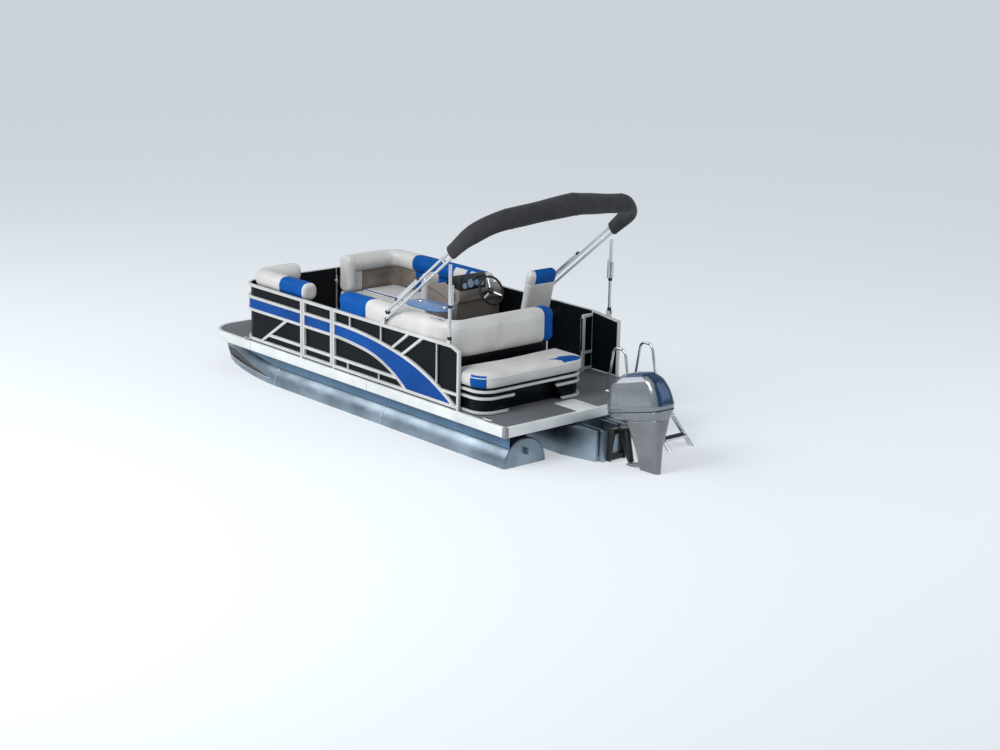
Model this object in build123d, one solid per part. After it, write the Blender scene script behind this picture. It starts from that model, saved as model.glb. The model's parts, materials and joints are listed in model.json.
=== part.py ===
from build123d import *
import os
from math import cos, sin, radians, pi

os.makedirs("parts", exist_ok=True)

# Main sizes in mm. Stations run forward from the stern edge of the deck.
DECK_LENGTH = 5600
DECK_BEAM = 2440
CORNER_R = 360
FLOOR = 465
DECK_THICK = 29
EDGE_THICK = 20
EDGE_DROP = 109
EDGE_BOTTOM = FLOOR - EDGE_DROP
MID = DECK_LENGTH / 2

# Pontoons float half sunk, so the water is at their centre.
TUBE_R = 292
TUBE_Y = DECK_BEAM / 2 - 340
TUBE_AFT = 60
NOSE_START = 4200
KEEL_W = 24
KEEL_H = 22

# Fence
RAIL_H = 32
RAIL_T = 30
POST_W = 36
FENCE_Y = DECK_BEAM / 2 - 30
FENCE_FRONT = 4860
FENCE_R = 220
FENCE_AFT = 790
TOP_Z = 700
AFT_TOP_Z = 650
KINK_X = 930
UPPER_Z = 540
LOWER_Z = 390
STRIP_Z = 140
FOOT_GAP = 18
SHEET_T = 4
BOW_POST = 3616
AFT_POST = 3027
GATE_GAP = 8
PIN_FIT = 0.05
RAIL_MID_Y = FENCE_Y - RAIL_T / 2
SHEET_OUT_Y = FENCE_Y - RAIL_T
SHEET_MID_Y = SHEET_OUT_Y - SHEET_T / 2

# Seats
SEAT_Z = 400
BASE_Z = 300
BACK_Z = 865
BACK_T = 220
BACK_OUT_Y = SHEET_OUT_Y - SHEET_T - 10
SOFT_GAP = 0.3


def sx(station):
    """Turn a station from the stern into the part's X."""
    return station - MID


def block(x0, x1, y0, y1, z0, z1):
    """Box between two corners, stations along X."""
    size = (x1 - x0, y1 - y0, z1 - z0)
    mid = (sx((x0 + x1) / 2), (y0 + y1) / 2, (z0 + z1) / 2)
    return Pos(*mid) * Box(*size)


def rod(p0, p1, radius):
    """Round bar between two points given by station, y, z."""
    a = Vector(sx(p0[0]), p0[1], p0[2])
    b = Vector(sx(p1[0]), p1[1], p1[2])
    plane = Plane(origin=a, z_dir=b - a)
    return extrude(plane * Circle(radius), (b - a).length)


def bar(p0, p1, width, height):
    """Square bar between two points, its first side kept along Y."""
    a = Vector(sx(p0[0]), p0[1], p0[2])
    b = Vector(sx(p1[0]), p1[1], p1[2])
    plane = Plane(origin=a, x_dir=(0, 1, 0), z_dir=b - a)
    return extrude(plane * Rectangle(width, height), (b - a).length)


def wall(points, radius, thick, z0, z1):
    """Upright wall along a plan path with rounded corners."""
    pts = [(sx(x), y) for x, y in points]
    if len(pts) > 2:
        path = FilletPolyline(*pts, radius=radius)
    else:
        path = Line(*pts)
    return Pos(0, 0, z0) * extrude(trace(path, thick), z1 - z0)


def pipe(points, radius, bend):
    """Round tube along a bent path given by stations."""
    pts = [(sx(x), y, z) for x, y, z in points]
    path = FilletPolyline(*pts, radius=bend)
    start = Plane(origin=path @ 0, z_dir=path % 0)
    return sweep(start * Circle(radius), path=path)


def side_sheet(edges, y0, y1):
    """Face in the XZ plane from edges, given thickness along Y."""
    face = make_face(edges)
    solid = extrude(Plane.XZ * face, -(y1 - y0))
    return Pos(0, y0, 0) * solid


def poly_side(points, y0, y1):
    """Prism with a side outline given by station and height."""
    pts = [(sx(x), z) for x, z in points]
    face = make_face(Polyline(*pts, close=True))
    return side_sheet(face.edges(), y0, y1)


def mirror_y(shape):
    return mirror(shape, about=Plane.XZ)


def group(*shapes):
    """One node of separate solids."""
    solids = []
    for shape in shapes:
        solids.extend(shape.solids())
    return Compound(children=solids)


def save(shape, name):
    export_step(shape, "parts/" + name + ".step")


# Pontoon tubes: a straight tube and a nose whose half width and
# bottom follow power curves of the way along it.
def nose_section(station, half, top, bottom):
    middle = (top + bottom) / 2
    right = ThreePointArc((0, top), (half, middle), (0, bottom))
    left = ThreePointArc((0, bottom), (-half, middle), (0, top))
    face = make_face([right, left])
    return Plane(origin=(sx(station), 0, 0), x_dir=(0, 1, 0), z_dir=(1, 0, 0)) * face


NOSE_LENGTH = 1440
NOSE_STEPS = 16
STEM_HALF = 12
NOSE = []
for i in range(NOSE_STEPS + 1):
    t = i / NOSE_STEPS
    half = max(STEM_HALF, TUBE_R * (1 - 1.06 * t ** 1.7))
    low = -TUBE_R + 506 * t ** 7.5
    NOSE.append((NOSE_START + t * NOSE_LENGTH, half, TUBE_R, low))
tube = rod((TUBE_AFT, 0, 0), (NOSE_START, 0, 0), TUBE_R)
nose = loft([nose_section(*row) for row in NOSE], ruled=True)
keel_top = -TUBE_R + 6
keel = block(300, 4300, -KEEL_W / 2, KEEL_W / 2, -TUBE_R - KEEL_H, keel_top)
pontoon = tube + nose + keel
save(Pos(0, TUBE_Y, 0) * pontoon, "pontoon_port")
save(Pos(0, -TUBE_Y, 0) * pontoon, "pontoon_starboard")

# Deck plate, cover, edge band and the framing below.
CHANNEL_TOP = FLOOR - DECK_THICK
CHANNEL_H = 100
CHANNEL_W = 44
CHANNEL_COUNT = 10
SKIRT_Y = DECK_BEAM / 2 - 118
SKIRT_T = 4
SKIRT_BOTTOM = 210


def deck_outline(inset):
    half = DECK_BEAM / 2 - inset
    front = DECK_LENGTH - inset
    r = CORNER_R - inset
    pts = [
        (sx(inset), half),
        (sx(front), half),
        (sx(front), -half),
        (sx(inset), -half),
    ]
    face = make_face(Polyline(*pts, close=True))
    corners = face.vertices().sort_by(Axis.X)[-2:]
    return fillet(corners, r)


deck = Pos(0, 0, CHANNEL_TOP) * extrude(deck_outline(EDGE_THICK), DECK_THICK)
save(deck, "deck")
band_outer = Pos(0, 0, EDGE_BOTTOM) * extrude(deck_outline(0), EDGE_DROP)
band_inner = Pos(0, 0, EDGE_BOTTOM) * extrude(deck_outline(EDGE_THICK), EDGE_DROP)
save(band_outer - band_inner, "deck_edge")

CHANNEL_STEP = DECK_LENGTH / 10
RISER_FRONT = 150 + (CHANNEL_COUNT - 1) * CHANNEL_STEP
channel_z0 = CHANNEL_TOP - CHANNEL_H
framing = []
for i in range(CHANNEL_COUNT):
    x = 150 + i * CHANNEL_STEP
    framing.append(block(x, x + CHANNEL_W, -SKIRT_Y, SKIRT_Y, channel_z0, CHANNEL_TOP))
riser_top = channel_z0 + 20
for side in (1, -1):
    for off in (-90, 90):
        y = side * TUBE_Y + off
        framing.append(block(150, RISER_FRONT, y - 5, y + 5, 270, riser_top))
cross = framing[0]
for piece in framing[1:]:
    cross = cross + piece
cross = cross - Pos(0, TUBE_Y, 0) * tube - Pos(0, -TUBE_Y, 0) * tube
cross = cross - Pos(0, TUBE_Y, 0) * nose - Pos(0, -TUBE_Y, 0) * nose
save(cross, "cross_members")
skirt_front = DECK_LENGTH - 500
skirt = poly_side([
    (60, SKIRT_BOTTOM), (NOSE_START + 80, SKIRT_BOTTOM), (skirt_front, SKIRT_BOTTOM + 125),
    (skirt_front, CHANNEL_TOP), (60, CHANNEL_TOP)], SKIRT_Y, SKIRT_Y + SKIRT_T)
save(group(skirt, mirror_y(skirt)), "side_skirts")

# Motor pod: hull shaped box under the deck with a transom.
POD_TOP = 335
POD_BOTTOM = -190
POD_AFT = -380
TRANSOM_T = 50
POD_HALF = 330


def pod_section(station, half, top, bottom, flat):
    pts = [(-half, top), (half, top), (half, bottom + 160), (flat, bottom), (-flat, bottom)]
    pts.append((-half, bottom + 160))
    face = make_face(Polyline(*pts, close=True))
    return Plane(origin=(sx(station), 0, 0), x_dir=(0, 1, 0), z_dir=(1, 0, 0)) * face


POD = [
    (POD_AFT + TRANSOM_T, 230, POD_TOP, POD_BOTTOM, 120),
    (100, POD_HALF, POD_TOP, POD_BOTTOM, 150),
    (1100, POD_HALF, POD_TOP, POD_BOTTOM + 40, 150),
    (1700, 160, POD_TOP, POD_TOP - 190, 40),
]
pod = loft([pod_section(*row) for row in POD], ruled=True)
well = block(POD_AFT + TRANSOM_T, 40, -200, 200, 60, POD_TOP + 10)
transom = block(POD_AFT, POD_AFT + TRANSOM_T, -190, 190, POD_BOTTOM + 60, POD_TOP)
pod_top_bar = block(POD_AFT + TRANSOM_T, 1700, -150, -130, POD_TOP - 5, channel_z0)
pod = pod - well + transom + pod_top_bar + mirror_y(pod_top_bar)
save(pod, "motor_pod")

# Gate hinges: the post carries a lug and a pin, the gate a sleeve.
HINGE_LEVELS = (150, 520)
PIN_R = 4.5
SLEEVE_R = 8
PIN_LEN = 40


def hinge_lugs(x, y, arm):
    """Lugs and pins at a hinge, arm is a plan box that meets the post."""
    out = None
    for level in HINGE_LEVELS:
        z = FLOOR + level
        lug = rod((x, y, z), (x, y, z + 6), SLEEVE_R) + block(*arm, z, z + 6)
        lug = lug + rod((x, y, z), (x, y, z + PIN_LEN), PIN_R)
        out = lug if out is None else out + lug
    return out


def hinge_sleeves(x, y, arm):
    """Sleeves on the pins, arm is a plan box that meets the gate."""
    out = None
    for level in HINGE_LEVELS:
        z = FLOOR + level + 7
        sleeve = rod((x, y, z), (x, y, z + PIN_LEN - 7), SLEEVE_R)
        sleeve = sleeve + block(*arm, z + 3, z + PIN_LEN - 12)
        sleeve = sleeve - rod((x, y, z - 1), (x, y, z + PIN_LEN), PIN_R + PIN_FIT)
        out = sleeve if out is None else out + sleeve
    return out


# Pivots of the three gates, station and Y.
STUB_END = FENCE_Y - 185
STUB_TOP = 662
SIDE_PIVOT = (3613, FENCE_Y - 45)
BOW_PIVOT = (4815, -202)
STERN_PIVOT = (1247, -469)

# Fence rails. Each row of the table is a straight rail of one side.
rail_top0 = FLOOR + TOP_Z - RAIL_H
bottom0 = FLOOR + FOOT_GAP
LEVELS = [
    ("top", rail_top0),
    ("upper", FLOOR + UPPER_Z - RAIL_H / 2),
    ("lower", FLOOR + LOWER_Z - RAIL_H / 2),
    ("bottom", bottom0),
]
strip0 = FLOOR + STRIP_Z - RAIL_H / 2
BOW_GATE_PORT = 405
BOW_GATE_HINGE = -205


def fence_rail(points, z0, height=RAIL_H):
    return wall(points, FENCE_R - RAIL_T / 2, RAIL_T, z0, z0 + height)


def upright(x, y, z1, width=POST_W):
    return block(x - width / 2, x + width / 2, y - RAIL_T / 2, y + RAIL_T / 2, FLOOR, z1)


fence_x = FENCE_FRONT - RAIL_T / 2


def bow_fence(start, y_side, y_end):
    """Fence section from a side station round the bow corner."""
    path = [(start, y_side), (fence_x, y_side), (fence_x, y_end)]
    out = None
    for _, z0 in LEVELS:
        rail = fence_rail(path, z0)
        out = rail if out is None else out + rail
    out = out + upright(start + POST_W / 2, y_side, FLOOR + TOP_Z)
    end_post = block(
        FENCE_FRONT - RAIL_T, FENCE_FRONT, y_end - POST_W / 2, y_end + POST_W / 2,
        FLOOR, FLOOR + TOP_Z)
    return out + end_post


def slant(x0, z0, x1, z1, y, width=28):
    """Flat bar in the fence plane from one point to another."""
    return bar((x0, y, FLOOR + z0), (x1, y, FLOOR + z1), RAIL_T, width)


# Bow part of the port side, with its slanting bar and low strip.
bow_port = bow_fence(BOW_POST, RAIL_MID_Y, BOW_GATE_PORT + POST_W / 2)
bow_port = bow_port + slant(3930, 385, 4455, 36, RAIL_MID_Y)
bow_port = bow_port + block(
    BOW_POST, 4300, FENCE_Y - RAIL_T, FENCE_Y, strip0, strip0 + RAIL_H)
side_lugs = hinge_lugs(*SIDE_PIVOT, (3613, 3632, FENCE_Y - 50, FENCE_Y - 28))
bow_port = bow_port + side_lugs
save(bow_port, "fence_bow_port")

# Sweep: two bent rails with a coloured sheet between them.
SWEEP_TOP = [(AFT_POST, UPPER_Z), (2420, 513), (1806, 420), (862, 31)]
SWEEP_LOW = [(AFT_POST, LOWER_Z), (2720, 377), (2434, 347), (1679, 27)]


def sweep_edges(table, offset):
    """Two arcs through a table row, moved up or down."""
    pts = [(sx(x), FLOOR + z + offset) for x, z in table]
    first = ThreePointArc(pts[0], pts[1], pts[2])
    second = TangentArc(pts[2], pts[3], tangent=first % 1)
    return [first, second]


def sweep_rail(table):
    path = Wire(sweep_edges(table, 0))
    face = trace(path, RAIL_H)
    return Pos(0, FENCE_Y - RAIL_T, 0) * extrude(Plane.XZ * face, -RAIL_T)


aft_x = FENCE_AFT + POST_W / 2
kink_low = FLOOR + AFT_TOP_Z - RAIL_H


def aft_fence(kink_x):
    """Aft section of one side, drawn on the port side. Its top falls aft of kink_x."""
    y0 = FENCE_Y - RAIL_T
    y1 = FENCE_Y
    top = block(kink_x, AFT_POST, y0, y1, rail_top0, rail_top0 + RAIL_H)
    drop = poly_side([
        (FENCE_AFT, kink_low), (kink_x, rail_top0),
        (kink_x, rail_top0 + RAIL_H), (FENCE_AFT, kink_low + RAIL_H)], y0, y1)
    low = block(FENCE_AFT, AFT_POST, y0, y1, bottom0, bottom0 + RAIL_H)
    out = top + drop + low
    out = out + upright(AFT_POST - POST_W / 2, RAIL_MID_Y, FLOOR + TOP_Z)
    out = out + block(
        FENCE_AFT, FENCE_AFT + POST_W, y0, y1, FLOOR, kink_low + RAIL_H)
    out = out + sweep_rail(SWEEP_TOP) + sweep_rail(SWEEP_LOW)
    out = out + block(1860, AFT_POST, y0, y1, strip0, strip0 + RAIL_H)
    out = out + block(aft_x, 1090, y0, y1, FLOOR + 158, FLOOR + 186)
    out = out + slant(1655, 672, 1930, 470, RAIL_MID_Y)
    out = out + slant(1415, 672, 1760, 425, RAIL_MID_Y)
    for x, z0, z1 in BARS:
        out = out + block(x - 7, x + 7, y0 + 6, y1 - 6, FLOOR + z0, FLOOR + z1)
    # The rails end at the deck.
    return out & block(FENCE_AFT, AFT_POST, y0 - 1, y1 + 1, FLOOR, FLOOR + TOP_Z + 1)


BARS = [
    (2712, 530, 690),
    (2145, 490, 690),
    (1174, 190, 690),
    (2749, 40, 140),
    (2177, 40, 140),
]

# Cheeks on the top rail that carry the folding top and its poles.
BIM_X = 2090
BIM_Y = RAIL_MID_Y
POLE_X = 969
foot_z = FLOOR + TOP_Z
CROSS_PIN = 5
MOUNTS = [(BIM_X, 52, 34), (POLE_X, 40, 26)]


def with_mounts(fence, sunk):
    """Fence with its cheeks, whose feet reach down into the rail by sunk."""
    for x, h, pin in MOUNTS:
        fence = fence + rod(
            (x, BIM_Y - 16, foot_z + pin), (x, BIM_Y + 16, foot_z + pin), CROSS_PIN)
        fence = fence + block(x - 28, x + 28, BIM_Y - 15, BIM_Y + 15, foot_z - sunk, foot_z)
        for y_in, y_out, top in ((13.5, 19, h), (-19, -13.5, h), (-19, 19, 8)):
            fence = fence + block(
                x - 28, x + 28, BIM_Y + y_in, BIM_Y + y_out, foot_z, foot_z + top)
    return fence


save(with_mounts(aft_fence(KINK_X), 10), "fence_aft_port")

# Starboard side: no gate, so its middle bay is fixed.
y0 = FENCE_Y - RAIL_T
bay = None
for _, z0 in LEVELS + [("strip", strip0)]:
    rail = block(AFT_POST, BOW_POST, y0, FENCE_Y, z0, z0 + RAIL_H)
    bay = rail if bay is None else bay + rail
STUB_X = 1221
aft_star = mirror_y(with_mounts(aft_fence(STUB_X), 40) + bay)

# Short fences across, on both sides of the stern gateway.
STUB_MID_Z = 205
stub_levels = (FLOOR + STUB_TOP - RAIL_H, FLOOR + STUB_MID_Z, bottom0)


def stub_fence(y_low, y_high, posts):
    """Rails across between two Y values, with a post above each Y in posts."""
    out = None
    for z0 in stub_levels:
        piece = block(STUB_X - 15, STUB_X + 15, y_low, y_high, z0, z0 + RAIL_H)
        out = piece if out is None else out + piece
    for y in posts:
        out = out + block(STUB_X - 15, STUB_X + 15, y, y + POST_W, FLOOR, FLOOR + STUB_TOP)
    return out


def stub_sheets(y_low, y_high):
    """Two sheets between the rails across."""
    gaps = ((bottom0 + RAIL_H, stub_levels[1]), (stub_levels[1] + RAIL_H, stub_levels[0]))
    return [block(STUB_X - 2, STUB_X + 2, y_low, y_high, z0, z1) for z0, z1 in gaps]


stub = stub_fence(5 - FENCE_Y, -STUB_END, [-STUB_END - POST_W])
stub = stub + block(
    STUB_X - 18, STUB_X + 18, -FENCE_Y, -FENCE_Y + RAIL_T, FLOOR, FLOOR + TOP_Z - 4)
save(aft_star + stub, "fence_aft_starboard")
HINGE_POST_Y = STERN_PIVOT[1] + 8
LOUNGE_POST_Y = -381
stern_lugs = hinge_lugs(
    *STERN_PIVOT, (1230, 1250, STERN_PIVOT[1], STERN_PIVOT[1] + 18))
save(stub_fence(HINGE_POST_Y, LOUNGE_POST_Y + POST_W, [HINGE_POST_Y, LOUNGE_POST_Y]) + stern_lugs,
     "fence_stern")
bow_star = mirror_y(
    bow_fence(BOW_POST, RAIL_MID_Y, -BOW_GATE_HINGE + POST_W / 2)
    + slant(3930, 385, 4455, 36, RAIL_MID_Y)
    + block(BOW_POST, 4300, FENCE_Y - RAIL_T, FENCE_Y, strip0, strip0 + RAIL_H))
bow_lugs = hinge_lugs(*BOW_PIVOT, (4810, 4832, -222, -202))
bow_star = bow_star + bow_lugs
save(bow_star, "fence_bow_starboard")

# Dark sheets behind the rails.
sheet_z0 = bottom0 + 4
sheet_z1 = FLOOR + TOP_Z - 6
sheet_x = FENCE_FRONT - RAIL_T - SHEET_T / 2
sheet_r = FENCE_R - RAIL_T - SHEET_T / 2


def side_panel(x0, x1):
    return block(x0, x1, SHEET_OUT_Y - SHEET_T, SHEET_OUT_Y, sheet_z0, sheet_z1)


def aft_panel():
    return poly_side([
        (FENCE_AFT + 4, sheet_z0), (AFT_POST - 4, sheet_z0), (AFT_POST - 4, sheet_z1),
        (KINK_X, sheet_z1), (FENCE_AFT + 4, kink_low + RAIL_H - 8)],
        SHEET_OUT_Y - SHEET_T, SHEET_OUT_Y)


def star_aft_panel():
    """Sheet aft of the stub, set inside its rails and posts."""
    return poly_side([
        (FENCE_AFT + 26, sheet_z0), (STUB_X - 10, sheet_z0), (STUB_X - 10, rail_top0 + 12),
        (FENCE_AFT + 26, kink_low + 12)], SHEET_OUT_Y - SHEET_T, SHEET_OUT_Y)


bow_panel_port = wall(
    [(BOW_POST + 4, SHEET_MID_Y), (sheet_x, SHEET_MID_Y), (sheet_x, BOW_GATE_PORT + 4)],
    sheet_r, SHEET_T, sheet_z0, sheet_z1)
bow_panel_star = mirror_y(wall(
    [(BOW_POST + 4, SHEET_MID_Y), (sheet_x, SHEET_MID_Y), (sheet_x, -BOW_GATE_HINGE + 4)],
    sheet_r, SHEET_T, sheet_z0, sheet_z1))
save(bow_panel_port - side_lugs, "panel_bow_port")
save(bow_panel_star - bow_lugs, "panel_bow_starboard")
save(aft_panel(), "panel_aft_port")
star_panel = mirror_y(side_panel(STUB_X + 10, BOW_POST + 3)) - stub
star_aft = mirror_y(star_aft_panel()) - stub
stub_panels = stub_sheets(-SHEET_OUT_Y + SHEET_T, -STUB_END - POST_W)
stub_panels = stub_panels + stub_sheets(HINGE_POST_Y + POST_W, LOUNGE_POST_Y)
save(group(star_panel, star_aft, *stub_panels), "panel_aft_starboard")

# Gates: a frame and a sheet each.
def gate_parts(length, levels, height, sheet_side=-1):
    """Gate frame along +X from its hinge edge, thickness on Y."""
    frame = None
    t = RAIL_T / 2
    for z0 in levels:
        piece = Pos(length / 2, 0, z0 + RAIL_H / 2) * Box(length, RAIL_T, RAIL_H)
        frame = piece if frame is None else frame + piece
    for x in (POST_W / 2, length - POST_W / 2):
        h = height - FOOT_GAP
        frame = frame + Pos(x, 0, FLOOR + FOOT_GAP + h / 2) * Box(POST_W, RAIL_T, h)
    sheet_h = sheet_z1 - sheet_z0 - (TOP_Z - height)
    panel_y = sheet_side * (t + SHEET_T / 2)
    panel = Pos(length / 2, panel_y, sheet_z0 + sheet_h / 2)
    panel = panel * Box(length - 8, SHEET_T, sheet_h)
    return frame, panel


side_gate_len = BOW_POST - AFT_POST - 2 * GATE_GAP
all_levels = [z0 for _, z0 in LEVELS] + [strip0]
frame, panel = gate_parts(side_gate_len, all_levels, TOP_Z)
gate_place = Pos(sx(AFT_POST + GATE_GAP), RAIL_MID_Y, 0)
sleeves = hinge_sleeves(*SIDE_PIVOT, (3592, 3610, FENCE_Y - 50, FENCE_Y - 28))
save(gate_place * frame + sleeves, "gate_port_frame")
save(gate_place * panel - sleeves, "gate_port_panel")
bow_gate_len = BOW_GATE_PORT - BOW_GATE_HINGE - 2 * GATE_GAP
frame, panel = gate_parts(bow_gate_len, [rail_top0, bottom0], TOP_Z, 1)
gate_place = Pos(sx(fence_x), BOW_GATE_HINGE + GATE_GAP, 0) * Rot(0, 0, 90)
sleeves = hinge_sleeves(*BOW_PIVOT, (4810, 4832, -196, -178))
save(gate_place * frame + sleeves, "gate_bow_frame")
save(gate_place * panel - sleeves, "gate_bow_panel")

STERN_GATE_LEN = 512
frame, panel = gate_parts(STERN_GATE_LEN, stub_levels, STUB_TOP, 1)
gate_place = Pos(sx(STERN_PIVOT[0]), STERN_PIVOT[1], 0)
sleeves = hinge_sleeves(MID, 0, (MID, MID + 24, 0, 8))
frame = Pos(20, 8, 0) * frame + sleeves
panel = Pos(20, 8, 0) * panel - sleeves
save(gate_place * frame, "gate_stern_frame")
save(gate_place * panel, "gate_stern_panel")


# Seats
def soft(shape, radius):
    """Round the upper edges of a cushion."""
    top = shape.faces().sort_by(Axis.Z)[-1]
    return fillet(top.edges(), radius)


def seat_block(outline, z0, z1, corner):
    """Cushion or base from a plan outline with rounded corners."""
    pts = [(sx(x), y) for x, y in outline]
    face = make_face(Polyline(*pts, close=True))
    face = fillet(face.vertices(), corner)
    return Pos(0, 0, z0) * extrude(face, z1 - z0)


back_mid = BACK_OUT_Y - BACK_T / 2
back_front = FENCE_FRONT - RAIL_T - SHEET_T - 10
BACK_LOW = SEAT_Z + FLOOR + SOFT_GAP
BOW_AFT_PORT = 3670
BOW_AFT_STAR = 3380
BACK_AFT_STAR = 2900
SEAT_IN = 470
COUCH_R = 60


def bow_couch(name, aft, back_aft, inner, back_end, side):
    """Seat on its base and the wrapped back of one bow couch."""
    out = BACK_OUT_Y
    front = back_front
    plan = [(back_aft, out), (front, out)]
    if back_end < inner:
        plan = plan + [(front, back_end), (front - BACK_T, back_end), (front - BACK_T, inner)]
    else:
        plan = plan + [(front, inner)]
    plan = plan + [(aft, inner)]
    if back_aft < aft:
        plan = plan + [(aft, out - BACK_T), (back_aft, out - BACK_T)]
    pts = [(sx(x), y) for x, y in plan]
    face = make_face(Polyline(*pts, close=True))
    corner = face.vertices().sort_by(lambda v: -v.X - v.Y)[0]
    face = fillet(corner, FENCE_R - RAIL_T - 15)
    face = fillet(face.vertices().sort_by(Axis.Y)[:2], COUCH_R)
    seat = Pos(0, 0, FLOOR) * extrude(face, SEAT_Z)
    back = wall(
        [(back_aft - 10, back_mid), (front - BACK_T / 2, back_mid), (front - BACK_T / 2, back_end)],
        BACK_T / 2 + COUCH_R, BACK_T, BACK_LOW, FLOOR + BACK_Z)
    for label, piece in (("seat", soft(seat, 25)), ("back", soft(back, 60))):
        save(piece if side > 0 else mirror_y(piece), name + "_" + label)


bow_couch("couch_port", BOW_AFT_PORT, BOW_AFT_PORT, SEAT_IN, 480, 1)
STAR_IN = 450
bow_couch("couch_starboard", BOW_AFT_STAR, BACK_AFT_STAR, STAR_IN, 230, -1)

# Upright rest at the aft end of the starboard couch.
REST_W = 225
rest_y = -STAR_IN - 15
rest = poly_side([
    (BOW_AFT_STAR + 12, BACK_LOW), (BOW_AFT_STAR + 150, BACK_LOW),
    (BOW_AFT_STAR + 110, FLOOR + 830), (BOW_AFT_STAR + 12, FLOOR + 830)],
    rest_y - REST_W, rest_y)
save(soft(rest, 40), "couch_starboard_rest")

# Lounge along the port side, turning across ahead of the bench.
LOUNGE_FRONT = 2985
LOUNGE_IN = 500
DIVIDER_AFT = 960
DIVIDER_FWD = 1195
BENCH_STAR = -330
LOUNGE_RETURN = 1780
out = BACK_OUT_Y
plan = [
    (DIVIDER_FWD, out), (LOUNGE_FRONT - 40, out), (LOUNGE_FRONT - 40, LOUNGE_IN),
    (LOUNGE_RETURN, LOUNGE_IN), (LOUNGE_RETURN, BENCH_STAR), (DIVIDER_FWD, BENCH_STAR)]
lounge_seat = seat_block(plan, FLOOR, FLOOR + SEAT_Z, 40)
save(soft(lounge_seat, 25), "lounge_seat")
divider_mid = (DIVIDER_AFT + DIVIDER_FWD) / 2
divider = block(
    divider_mid - 20, divider_mid + 20, BENCH_STAR + 30, out - 60, FLOOR, FLOOR + 500)
lounge_t = DIVIDER_FWD - DIVIDER_AFT
back = wall(
    [(LOUNGE_FRONT, out - lounge_t / 2), (divider_mid, out - lounge_t / 2),
     (divider_mid, BENCH_STAR)],
    lounge_t / 2 + 60, lounge_t, FLOOR + 500 + SOFT_GAP, FLOOR + 895)
back = soft(back, lounge_t * 0.3)
side_low = wall(
    [(LOUNGE_FRONT - 40, out - 60), (DIVIDER_FWD + 60, out - 60)],
    0, 100, FLOOR + SEAT_Z + SOFT_GAP, FLOOR + 500)
save(group(divider, side_low), "lounge_divider")
save(back, "lounge_back")

# Bench facing aft, its base ringed by three rails.
BENCH_AFT = 450
BENCH_PORT = BACK_OUT_Y + 19
bench_plan = [
    (DIVIDER_AFT - 6, BENCH_PORT - 20), (BENCH_AFT, BENCH_PORT - 20),
    (BENCH_AFT, BENCH_STAR - 30), (DIVIDER_AFT - 6, BENCH_STAR - 30)]
bench_mid_y = (BENCH_PORT - 20 + BENCH_STAR - 30) / 2


def bench_solid(inset, z0, z1, radius):
    pts = [
        (sx(DIVIDER_AFT - 6), BENCH_PORT - 20 - inset),
        (sx(BENCH_AFT + inset), BENCH_PORT - 20 - inset),
        (sx(BENCH_AFT + inset), BENCH_STAR - 30 + inset),
        (sx(DIVIDER_AFT - 6), BENCH_STAR - 30 + inset)]
    face = make_face(Polyline(*pts, close=True))
    corners = face.vertices().sort_by(Axis.X)[:2]
    face = fillet(corners, radius)
    return Pos(0, 0, z0) * extrude(face, z1 - z0)


bench_base = bench_solid(30, FLOOR, FLOOR + 285, 170)
recess = Plane(origin=(sx(BENCH_AFT), bench_mid_y, FLOOR), x_dir=(0, 1, 0), z_dir=(1, 0, 0))
cut = make_face(Polyline((-430, 0), (430, 0), (270, 265), (-270, 265), close=True))
bench_base = bench_base - extrude(recess * cut, 130)
save(bench_base, "bench_base")
rails = None
rail_cut = extrude(recess * make_face(Polyline(
    (-400, -1), (400, -1), (270, 240), (-270, 240), close=True)), 200)
for z0 in (8, 165, 238):
    ring = bench_solid(0, FLOOR + z0, FLOOR + z0 + 28, 200) - bench_solid(
        29.5, FLOOR + z0, FLOOR + z0 + 28, 170.5)
    ring = ring - rail_cut
    rails = group(ring) if rails is None else group(rails, ring)
save(rails, "bench_rails")
bench_seat = bench_solid(-5, FLOOR + 285 + SOFT_GAP, FLOOR + 440, 190)
save(soft(bench_seat, 40), "bench_seat")

# Helm console with hooded dash, wheel and chair.
HELM_Y = 380 - DECK_BEAM / 2
CONSOLE_IN = HELM_Y + 380
CONSOLE_OUT = HELM_Y - 290
CONSOLE_AFT = 2760
CONSOLE_Z = 735
console_front = CONSOLE_AFT + 100
console = poly_side([
    (CONSOLE_AFT + 40, FLOOR), (console_front, FLOOR), (console_front, FLOOR + CONSOLE_Z + 17),
    (CONSOLE_AFT, FLOOR + CONSOLE_Z), (CONSOLE_AFT, FLOOR + 600), (CONSOLE_AFT + 40, FLOOR + 560)],
    CONSOLE_OUT, CONSOLE_IN)
# The fairing runs on to the couch, inboard of the couch's back.
fairing_x = BOW_AFT_STAR - 8
fairing = poly_side([
    (CONSOLE_AFT + 60, FLOOR), (fairing_x, FLOOR), (fairing_x, FLOOR + CONSOLE_Z - 35),
    (CONSOLE_AFT + 320, FLOOR + CONSOLE_Z + 40), (CONSOLE_AFT + 230, FLOOR + CONSOLE_Z + 40),
    (console_front, FLOOR + CONSOLE_Z + 17), (CONSOLE_AFT + 60, FLOOR + CONSOLE_Z - 35)],
    BACK_T - BACK_OUT_Y + 8, CONSOLE_IN)
upright_edges = fairing.edges().filter_by(Axis.Z).group_by(Axis.X)[-1]
console = console + fillet(upright_edges, 30)
WHEEL_TILT = 115
WHEEL_R = 170
SHAFT_R = 16
SHAFT_LEN = 195
wheel_place = Pos(sx(CONSOLE_AFT - 140), HELM_Y, FLOOR + 720) * Rot(0, WHEEL_TILT, 0)
bore = wheel_place * Pos(0, 0, SHAFT_LEN / 2) * Cylinder(SHAFT_R + PIN_FIT, SHAFT_LEN + 2)
console = console - bore
save(console, "console")
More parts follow.
